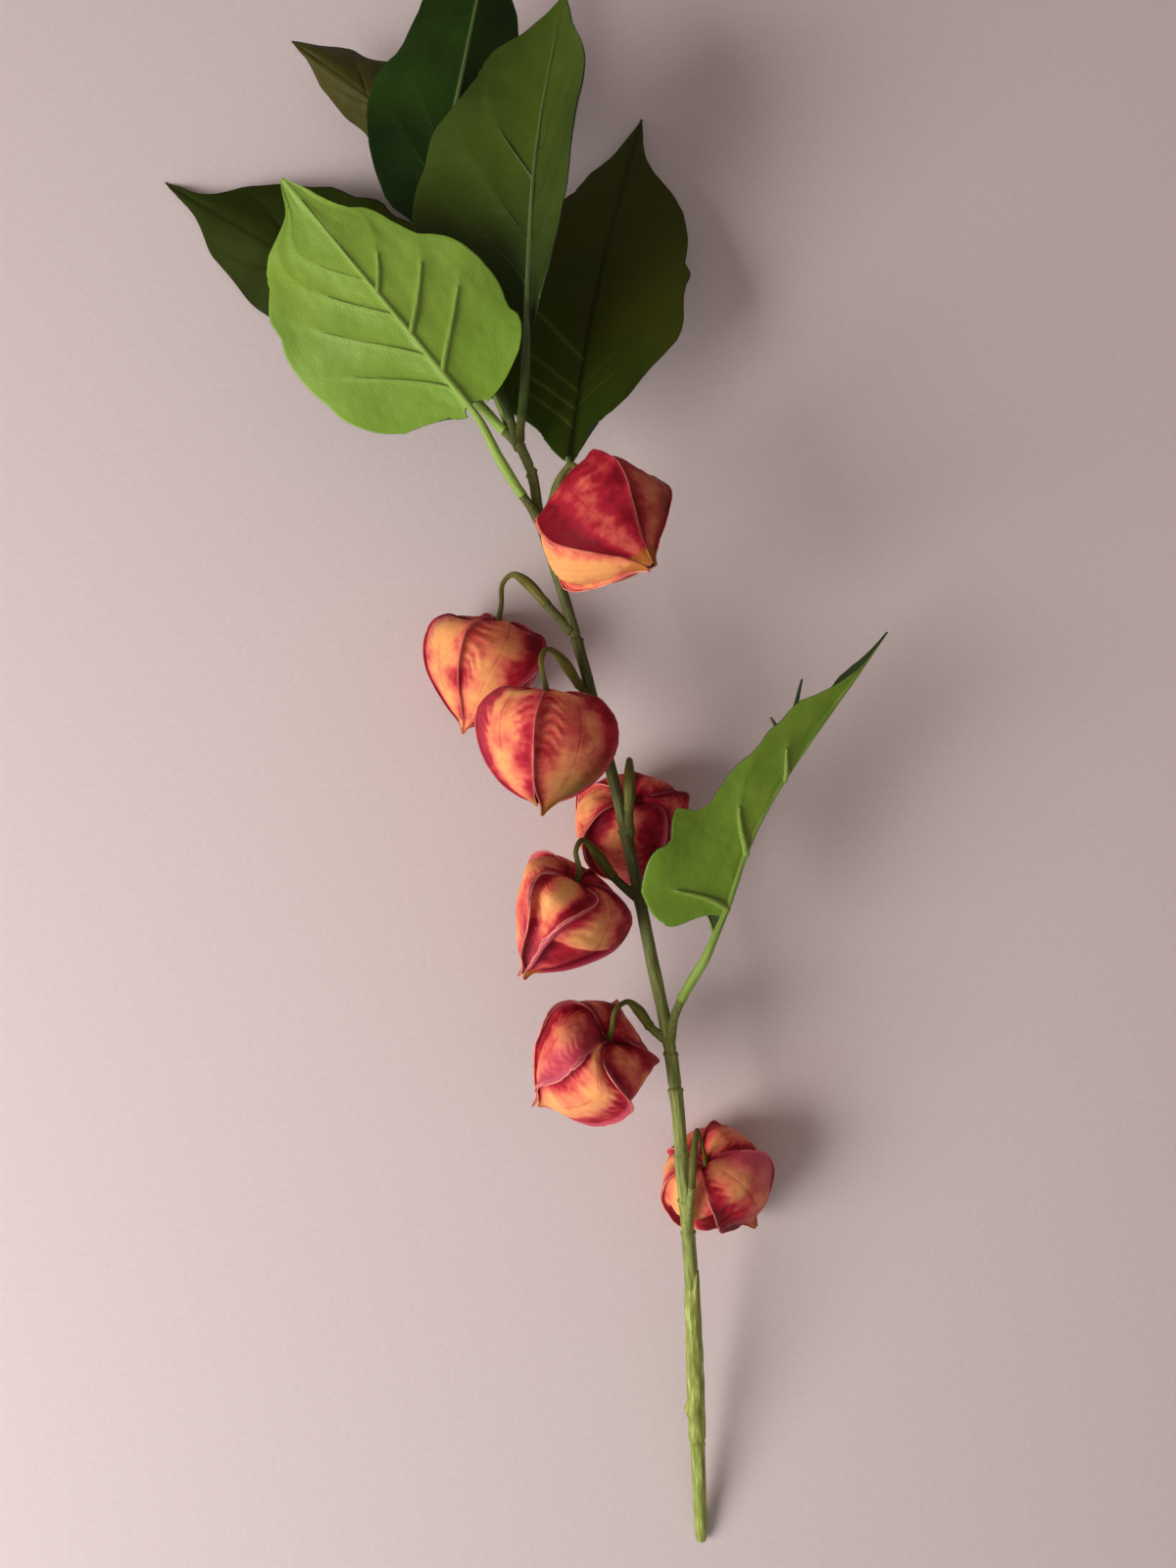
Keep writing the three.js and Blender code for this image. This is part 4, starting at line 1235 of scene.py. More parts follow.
BLADE_THICKNESS = 0.7  # mm, as are the radii and the relief below
FOLD_RADIUS = 3.0
VEIN_SINK = 0.45  # a vein's centre stands this share of its radius above the face
BACK_LIFT = 0.25  # and this much more than its radius on a leaf that is seen from behind
SAG_POWER = 2.4  # how near its edge a blade's base sags most
MIDRIB_SPREAD, SIDE_SPREAD = 1.1, 0.8  # how far beside a midrib or a side vein its mark fades
QUILT_RISE, MIDRIB_DIP, SIDE_DIP = 0.5, 0.5, 0.4  # the relief between the veins and along them
OUTLINE_ENDS = (0.0006, 0.994)  # shares of the midrib at which a blade's outline starts and ends
ROW_POWER = 1.4  # how much closer a blade's rows of faces are at its base
MIDRIB_PLACES = (0.03, 0.1, 0.2, 0.32, 0.46, 0.6, 0.75, 0.9)
MIDRIB_RADII = (1.15, 0.4)
PETIOLE_RADII = (1.7, 1.9, 1.15)
PETIOLE_SWELL = 0.06
SIDE_RIB_RADII = (0.95, 0.45)
SIDE_RIB_PLACES = (0, 0.2, 0.4, 0.6, 0.8, 1)
BLADE_COLUMNS, BLADE_ROWS = 110, 130


@dataclass(frozen=True)
class Half:
    """One half of a leaf: its width, the angle it leaves the midrib at, and its outline's powers.

    edge holds, at even steps from base to tip, how far the half's own wavy edge reaches, in
    hundredths of that smooth outline; sag is how far, in mm, the blade's base hangs back beside
    the midrib.
    """

    width: float
    angle: float
    base: float
    tip: float
    edge: tuple[int, ...] = ()
    sag: float = 0.0

    def ruffle(self, share: float, out: float) -> float:
        """How far the wavy edge draws the blade out or in, as a factor, at a distance out."""
        if self.edge:
            along = clamp(share) * (len(self.edge) - 1)
            index = min(int(along), len(self.edge) - 2)
            wavy = mix(self.edge[index], self.edge[index + 1], along - index) / 100
        else:
            wavy = 1 + 0.03 * math.sin(share * 31 + out * 2)
        return 1 + (wavy - 1) * out * out

    def reach(self, share: float) -> float:
        """The half's width at a share of the midrib."""
        widest = self.base / (self.base + self.tip)
        peak = widest ** self.base * (1 - widest) ** self.tip
        drawn_in = 1 - 0.5 * smooth(share, 0.76, 0.9)
        return self.width * drawn_in * share ** self.base * (1 - share) ** self.tip / peak


@dataclass(frozen=True)
class SideRib:
    """A side vein: its side of the midrib, where it leaves it and ends, and how far out it goes.

    thick is how thick it is, as a share of the usual.
    """

    side: int
    start: float
    end: float
    reach: float
    thick: float = 1.0


SIDE_RIBS = (
    SideRib(-1, 0.1, 0.33, 0.63), SideRib(1, 0.15, 0.35, 0.6), SideRib(-1, 0.23, 0.49, 0.57),
    SideRib(1, 0.32, 0.5, 0.52), SideRib(-1, 0.4, 0.61, 0.42), SideRib(1, 0.5, 0.62, 0.36),
)


@dataclass
class Leaf:
    """One leaf: a blade of two halves, and its petiole, midrib and side veins."""

    number: int
    route: Sequence[Point]
    stub: float
    midrib: Sequence[Point]
    left: Half
    right: Half
    lobe: float
    wave: float
    ribs: int
    face: BladeFinish
    back: BladeFinish
    vein: StemFinish
    side_ribs: Sequence[SideRib] = SIDE_RIBS
    barbs: Sequence[tuple[Point, Point]] = ()
    stub_thick: float = 1.0

    def __post_init__(self) -> None:
        """Works out the leaf's own directions and its centre lines."""
        along = (Vector(self.midrib[2]) - Vector(self.midrib[0])).normalized()
        upward = upright(along)
        self.ways = Directions(along, upward, along.cross(upward))
        self.spine = Route(self.midrib)
        rib = [self.on_surface(share, 0.0, mix(*MIDRIB_RADII, share)) for share in MIDRIB_PLACES]
        self.line = Route([*self.route, *[tuple(place) for place in rib]])
        neck = 1 - 0.9 * (Vector(self.midrib[2]) - Vector(self.midrib[0])).length / self.line.length
        places, (sleeve, swell, thin) = (0, PETIOLE_SWELL, neck, 1), PETIOLE_RADII
        stations = tuple(zip(places, (sleeve, swell, thin, MIDRIB_RADII[1])))
        self.petiole = Profile(stations, 0.07, (2,), ((0.006, 0.008, 0.22),))

    def half_way(self, half: Half, side: int) -> Vector:
        """The direction in which a half leaves the midrib."""
        angle = math.radians(half.angle)
        return self.ways.right * side * math.cos(angle) + self.ways.upward * math.sin(angle)

    def middle_place(self, share: float, across: float) -> Vector:
        """A place on the blade's middle surface, as the solid has it.

        Args:
            share: 0 at the midrib's base and 1 at its tip.
            across: -1 at the left edge, 0 on the midrib and 1 at the right edge.

        Returns:
            The place in drawing millimetres.
        """
        inside = clamp(share, *OUTLINE_ENDS)
        left_width, right_width = self.left.reach(inside), self.right.reach(inside)
        softness = min(2 * FOLD_RADIUS / (left_width + right_width), 1)
        edge = across * across
        left_width *= self.left.ruffle(share, max(-across, 0.0))
        right_width *= self.right.ruffle(share, max(across, 0.0))
        left_reach = (-across + math.hypot(across, softness) - softness) / 2 * left_width
        right_reach = (across + math.hypot(across, softness) - softness) / 2 * right_width
        left, right = self.half_way(self.left, -1), self.half_way(self.right, 1)
        fullness = left_width / self.left.width if across < 0 else right_width / self.right.width
        swing = math.sin(share * 13 + math.copysign(1.2, across) if across else share * 13)
        normal = self.ways.along.cross(left) if across < 0 else right.cross(self.ways.along)
        half = self.left if across < 0 else self.right
        sag = half.sag * math.sin(math.pi * abs(across) ** SAG_POWER) * (1 - share) ** 8
        return (self.spine.free(share) + left * left_reach + right * right_reach
                - self.ways.along * (self.lobe * edge * (1 - share) ** 4 + sag)
                + normal * self.wave * edge * swing * fullness)

    def normal(self, share: float, across: float) -> Vector:
        """The blade's direction out of its upper face."""
        step = 0.004
        high, low = min(share + step, 1.0), max(share - step, 0.0)
        along = self.middle_place(high, across) - self.middle_place(low, across)
        sideways = self.middle_place(share, across + step) - self.middle_place(share, across - step)
        return sideways.cross(along).normalized()

    def on_surface(self, share: float, across: float, radius: float) -> Vector:
        """A place for a vein's centre, half sunk in the face that has the veins."""
        lift = BLADE_THICKNESS / 2 + (radius * VEIN_SINK if self.ribs > 0 else radius + BACK_LIFT)
        return self.middle_place(share, across) + self.normal(share, across) * self.ribs * lift

    def vein_field(self, share: float, across: float) -> tuple[float, float, float]:
        """How near a place is to a vein, and how far it swells between two veins.

        Args:
            share: The share along the midrib.
            across: The place across, from -1 to 1.

        Returns:
            The nearness to the midrib, the nearness to a side vein and the swelling, from 0 to 1.
        """
        side = 1 if across > 0 else -1
        out = abs(across)
        half = self.right if side > 0 else self.left
        width = max(half.reach(clamp(share, *OUTLINE_ENDS)), 0.5)
        middle = bump(out * width, 0, MIDRIB_SPREAD) * (1 - 0.6 * share)
        length = (Vector(self.midrib[2]) - Vector(self.midrib[0])).length
        lines = [rib for rib in self.side_ribs if rib.side == side]
        places = [mix(rib.start, rib.end, out / rib.reach) for rib in lines]
        sideways = 0.0
        for rib, place in zip(lines, places):
            ends = 1 - smooth(out, rib.reach * 0.95, rib.reach * 1.25)
            near = bump((share - place) * length, 0, SIDE_SPREAD * rib.thick ** 0.5) * ends
            sideways = max(sideways, near * min(rib.thick, 1.0))
        edges = [0.0, *places, 1.0]
        swelling = 0.0
        for low, high in zip(edges, edges[1:]):
            if low <= share < high:
                swelling = math.sin(math.pi * (share - low) / max(high - low, 0.01)) ** 0.7
        swelling *= smooth(out, 0.02, 0.3) * (1 - smooth(out, 0.6, 1.0))
        return middle, sideways, swelling

    def blade_place(self, u: float, v: float) -> Vector:
        """A place on the fine blade: the middle surface with its quilted relief."""
        across = 2 * u - 1
        share = v ** ROW_POWER
        place = self.middle_place(share, across)
        middle, sideways, swelling = self.vein_field(share, across)
        seed = self.number * 3.7
        wrinkle = 0.5 * noise.noise(place * 0.08 + Vector((seed, 0, 0)))
        wrinkle += 0.15 * noise.noise(place * 0.3 + Vector((seed, 0, 0)))
        relief = QUILT_RISE * swelling + wrinkle - MIDRIB_DIP * middle - SIDE_DIP * sideways
        return place + self.normal(share, across) * relief * -self.ribs

    def build_blade(self, palette: Palette) -> None:
        """Builds and dresses the blade."""
        net = sheet(BLADE_COLUMNS, BLADE_ROWS, self.blade_place, {
            "vein": lambda u, v: self.vein_field(v ** ROW_POWER, 2 * u - 1)[0],
            "side_vein": lambda u, v: self.vein_field(v ** ROW_POWER, 2 * u - 1)[1],
        }, BLADE_THICKNESS / 2)
        bmesh.ops.remove_doubles(net, verts=net.verts, dist=WELD)
        finishes = [self.face.make(palette.groups), self.back.make(palette.groups)]
        made = piece(f"leaf_{self.number}_blade", net, finishes,
                     [f"leaf_blade_{self.number}"])
        thicken(made, BLADE_THICKNESS, 0, 1)

    def petiole_radius(self, share: float, turn: float) -> float:
        """The radius of the petiole, which runs on as the midrib."""
        return self.petiole.uneven(share, share * self.line.length, turn)

    def build_veins(self, palette: Palette) -> None:
        """Builds and dresses the petiole, the midrib and the side veins."""
        start = self.stub / self.line.length
        nets = [Tube(self.line, self.petiole_radius, start, 1.0, 20, 240, Cap(0.6, 4)).net()]
        for rib in self.side_ribs:
            half = self.left if rib.side < 0 else self.right
            if abs(half.angle) >= 90:
                continue
            base, tip = (radius * rib.thick for radius in SIDE_RIB_RADII)
            places = [self.on_surface(mix(rib.start, rib.end, out), rib.side * rib.reach * out,
                                      mix(base, tip, out)) for out in SIDE_RIB_PLACES]
            nets.append(self.rib_net(places, base, tip))
        for ends in self.barbs:
            barb = self.rib_net(ends, *SIDE_RIB_RADII)
            for face in barb.faces:
                face.material_index = 1
            nets.append(barb)
        finishes = [self.vein.make(palette.groups), self.back.make(palette.groups)]
        piece(f"leaf_{self.number}_veins", gathered(nets), finishes[:2 if self.barbs else 1],
              [f"leaf_ribs_{self.number}"])

    @staticmethod
    def rib_net(places: Sequence[Sequence[float]], base: float, tip: float) -> bmesh.types.BMesh:
        """One side vein, or a barb at the edge, as a tapering tube."""
        return Tube(Route(places), lambda share, turn: mix(base, tip, share),
                    sides=16, rows=60, cap=Cap(1.0, 4)).net()


# ---- The stem's own lanterns and leaves -----------------------------------------------------


def lanterns() -> list[Lantern]:
    """The seven lanterns, numbered from the top."""
    return [
        Lantern(1, ((-17, 93.5, 57.5), (-14, 100.5, 60), (-11.8, 105.6, 63), (-9.6, 110.8, 67),
                    (-6.3, 114.4, 71), (-3.2, 111.6, 73.5), (-1.8, 102.5, 71.5)),
                8, (1, 98, 74), (22, 74, 96), 23.8, (-2.8, 2, 0), 0,
                (Seam((-44, -48, -55, -47), -0.9, 1.2, 1.2), Seam((12, 25, 34, 25), 0.6, 1.6, 1.6),
                 Seam((100, 100, 98, 92)), Seam((172, 172, 172, 172)), Seam((246, 242, 244, 246))),
                (Petal(0.92, 0.8, 2), Petal(0.8, 0.4, 1), Petal(0.5, 0.6, 1.5), Petal(0.2),
                 Petal(-0.3, 1.4, 2.5)),
                (Stain(0, 0.05, 0.5, 0.25, 0.4, 0.9), Stain(0, 0.12, 0.2, 0.25, 0.14, -0.9),
                 Stain(0, 0.93, 0.5, 0.12, 0.6, -0.45), Stain(0, 0.55, 0.4, 0.2, 0.1, 0.5),
                 Stain(1, 0.75, 0.6, 0.5, 0.6, 0, 0.35), Stain(4, 0, 0.5, 0.28, 0.6, -0.6),
                 Stain(4, 1, 0.4, 0.2, 0.5, -0.35)),
                (Bulge(24, 0.43, 30, 0.1, 1.2), Bulge(98, 0.67, 22, 0.09, 2.4),
                 Bulge(-110, 0.64, 35, 0.14, 3), Bulge(-85, 0.58, 12, 0.05, -1.2)), mauve=0),
        Lantern(2, ((-6, 56.5, 54.5), (-12.5, 63.5, 54), (-16, 67.5, 53), (-22, 74.5, 50),
                    (-28.5, 79.5, 42), (-33.2, 77, 33), (-33.9, 70.5, 26.8)),
                14, (-36, 60.5, 22.8), (-50, 20.5, 16.3), 24.2, (0, 0, 0), 0,
                (Seam((-95, -85, -64, -24), -0.7, 1.2), Seam((-28, -21, -16, -3), 0.9, 1.1, 0.8),
                 Seam((85, 58, 37, 26), 0.7, 1.8, 1.8), Seam((150, 140, 130, 120)),
                 Seam((205, 210, 215, 220))),
                (Petal(-0.1, 0.8, 0.8), Petal(0.15, 1, 1.4), Petal(0.9, 0.4, 0), Petal(0.5, tip=0),
                 Petal(0.6, tip=0)),
                (Stain(1, 0.9, 0.35, 0.25, 0.3, 0.8), Stain(1, 0.4, 0.06, 0.8, 0.14, 0.6),
                 Stain(0, 0.9, 0.7, 0.3, 0.3, 0.3), Stain(0, 0.1, 0.3, 0.2, 0.4, 0, 0, 0.6),
                 Stain(0, 0.5, 0.06, 0.8, 0.12, 0.5), Stain(1, 0.04, 0.45, 0.22, 0.35, -0.55),
                 Stain(0, 0.96, 0.4, 0.2, 0.35, -0.4)),
                (Bulge(-85, 0.3, 22, 0.08, 2), Bulge(60, 0.3, 20, 0.07, 1.4),
                 Bulge(-80, 0.22, 52, 0.15, 0, 7)), mauve=0.3),
        Lantern(3, ((2.5, 28.5, 53), (-1, 34, 54), (-3.5, 37, 55.5), (-10, 46, 62),
                    (-14.5, 48.5, 69), (-16.8, 44.5, 73.5), (-15.2, 35.5, 74.5)),
                10, (-14, 29, 73.5), (-17.5, -10, 70), 24, (0.8, 0, 0), 0,
                (Seam((-6, -9, -10, -10), 0.9, 1.1, 0.8, 1), Seam((80, 78, 76, 74), 0.8, 1.4),
                 Seam((136, 136, 136, 136)), Seam((208, 208, 208, 208)),
                 Seam((276, 276, 278, 280), -0.7, 1.3)),
                (Petal(0.35, 0.8, 2.2), Petal(0.4, 0.6, -1.5), Petal(0.3, tip=-1.5), Petal(0.3, tip=-1.5),
                 Petal(0.1, 0.8, -0.8)),
                (Stain(0, 0.72, 0.84, 0.5, 0.16, 0, 1), Stain(0, 0.85, 0.2, 0.25, 0.22, 0.6),
                 Stain(4, 0.08, 0.45, 0.2, 0.35, 0.35, 0, 0.25), Stain(0, 0.4, 0.05, 0.9, 0.12, 0.6),
                 Stain(4, 0.5, 0.05, 0.9, 0.1, 0.6), Stain(4, 0.8, 0.75, 0.4, 0.2, 0.3),
                 Stain(0, 0.06, 0.45, 0.24, 0.35, -0.5)),
                (Bulge(-65, 0.27, 22, 0.07, 2.2), Bulge(45, 0.27, 16, 0.06, 1.8),
                 Bulge(85, 0.3, 14, 0.06, 1.6)), mauve=0.35),
        Lantern(4, ((15.5, -19, 50.5), (15.2, -12.5, 54), (15.2, -9, 56), (15.2, 1, 56.5),
                    (15.5, 9, 50), (16.8, 4.5, 40), (17.6, -2.5, 33.5)),
                11, (17.5, -7.5, 29.8), (17, -39, 4.3), 22.8, (0, 0, 0), 0,
                (Seam((-53, -53, -53, -50), 0.9, 1.6, 1.5), Seam((54, 29, 16, 8), 0.7, 1.5, 1.8),
                 Seam((95, 112, 114, 114), 0.8, 0.4, 1.2), Seam((180, 180, 180, 180)),
                 Seam((245, 245, 245, 245))),
                (Petal(0.8, 0.4, 1), Petal(0.7, 0.6, 1), Petal(0.8, 0.8, 1), Petal(0.4),
                 Petal(-0.1, 1.2, 1)),
                (Stain(0, 0.4, 0.42, 0.16, 0.12, -0.8), Stain(4, 0.7, 0.15, 0.5, 0.14, 0.5)),
                (Bulge(105, 0.44, 24, 0.1, 1.2), Bulge(-100, 0.36, 25, 0.1, 1.2)), mauve=0.35),
        Lantern(5, ((18.5, -42, 50), (13, -38, 50.5), (9, -34, 51.5), (3, -25.5, 55),
                    (-2, -20.5, 60), (-4.4, -24.5, 64.3), (-3.1, -31.5, 64.4)),
                12, (-4.5, -36.5, 62.5), (-24.5, -72, 50.5), 23, (4, 2, 0), 0.15,
                (Seam((-47, -39, -29, -40), 0.9, 2.2, 2.4), Seam((58, 13, -3, -4), -1, 2.4, 2),
                 Seam((112, 104, 98, 80), 0.8, 1.6), Seam((165, 165, 165, 160)),
                 Seam((232, 234, 236, 240))),
                (Petal(0.1, -0.6, 0), Petal(0.1, 1.6, 1.5, 0.62, 2.2), Petal(0.9, 0.6, 0), Petal(0.5),
                 Petal(0, 1.4, 2)),
                (Stain(0, 0.45, 0.35, 0.22, 0.24, -0.18), Stain(0, 0.12, 0.5, 0.14, 0.4, -0.35),
                 Stain(0, 0.3, 0.85, 0.6, 0.16, 0.9, 0, 0.4),
                 Stain(0, 0.85, 0.45, 0.12, 0.3, 0.5), Stain(1, 0.3, 0.58, 0.4, 0.08, -0.45),
                 Stain(1, 0.3, 0.15, 0.5, 0.2, 0.5), Stain(4, 0.5, 0.08, 0.9, 0.14, 0.5),
                 Stain(1, 0.8, 0.5, 0.2, 0.4, 0.6)),
                (Bulge(-20, 0.36, 12, 0.14, 1.6),), mauve=0.8),
        Lantern(6, ((29.5, -95.5, 48.5), (25.5, -93, 48.5), (23, -90.5, 49), (19, -84.5, 52),
                    (14.5, -80.5, 56), (10, -83, 60.5), (8.6, -90, 60.5)),
                8, (7, -94.5, 56.5), (-20, -124.5, 34.5), 23, (4.5, 2.5, 0), 0.15,
                (Seam((-115, -80, -62, -75), 0.9, 1.8, 1.3), Seam((-18, -17, -24, -50), 1, 2.6, 1.8),
                 Seam((2, 48, 62, 62), 0.4, 2.4, 0.8), Seam((120, 122, 125, 130), 0.5, 2),
                 Seam((188, 190, 195, 210), 0.9, 1.6)),
                (Petal(0.28, 1.4, 2), Petal(-0.02, 2.2, 0), Petal(0.42, -0.4, 0), Petal(0.4, 0.6, 0),
                 Petal(0.6, 0.8, 2)),
                (Stain(1, 0.9, 0.5, 0.25, 0.3, 0.5), Stain(1, 0.1, 0.3, 0.2, 0.3, 0.5),
                 Stain(0, 0.4, 0.08, 0.7, 0.16, 0.6), Stain(0, 0.8, 0.55, 0.25, 0.4, 0.3, 0, 0.5)),
                (Bulge(122, 0.43, 18, 0.08, 2.6), Bulge(-170, 0.38, 16, 0.07, 2.5),
                 Bulge(75, 0.78, 60, 0.12, 3.5), Bulge(70, 0.9, 70, 0.08, -1)), mauve=0.7),
        Lantern(7, ((38, -168, 40), (38.4, -157.5, 45.5), (39, -151, 47.5), (39.6, -140, 48),
                    (41.2, -131, 44.5), (43.4, -137, 37.5), (45.2, -143.5, 31)),
                18, (45, -148.5, 26.8), (65.5, -177, 6.6), 21.5, (0, 1, 0), 0.2,
                (Seam((-95, -92, -82, -60), 0.8, 1.6), Seam((-10, -15, -27, -30), -0.8, 1.5, 0.9),
                 Seam((58, 66, 72, 58), 0.8, 1, 1.5), Seam((140, 146, 145, 140), 0.6, 1.2),
                 Seam((205, 208, 212, 220), 0.8, 0.8)),
                (Petal(0, 0.8, 0, 0.5, 2.4), Petal(0.3, 1.8, 4), Petal(0.3, 0.8, 3), Petal(0.2, 1.4),
                 Petal(0.2, 0.8)),
                # painted light: the stains on petal 1 at u 0.86 and on petal 0 at u 0.85 lighten petal 1's
                # shaded right side and the place in the stem's shadow
                (Stain(1, 0.42, 0.44, 0.2, 0.13, -0.45), Stain(1, 0.86, 0.6, 0.25, 0.3, -0.25, 0, 1),
                 Stain(1, 0.5, 1, 0.6, 0.12, 0.3, 0, 0.7), Stain(2, 0.5, 1, 0.6, 0.2, 0, 0, 0.8),
                 Stain(1, 0.28, 0.74, 0.3, 0.18, 0.9), Stain(0, 0.85, 0.35, 0.4, 0.25, -0.3),
                 Stain(0, 0.1, 0.38, 0.3, 0.22, -0.9), Stain(2, 0.4, 0.2, 0.6, 0.1, -0.2),
                 Stain(3, 0.3, 0.2, 0.4, 0.12, 0.7)),
                (Bulge(112, 0.3, 22, 0.1, 2.2), Bulge(143, 0.28, 16, 0.12, -3),
                 Bulge(205, 0.27, 20, 0.1, -2.4),
                 Bulge(48, 0.76, 26, 0.13, 2.4), Bulge(-55, 0.62, 40, 0.08, 2.6),
                 Bulge(-22, 0.62, 20, 0.14, -2.5)), mauve=0.45,
                stalk_radii=(1.4, 1.65, 0.8, 1.3), seat_shift=(1.8, -3.2, 0),
                stub_thick=0.72),
    ]


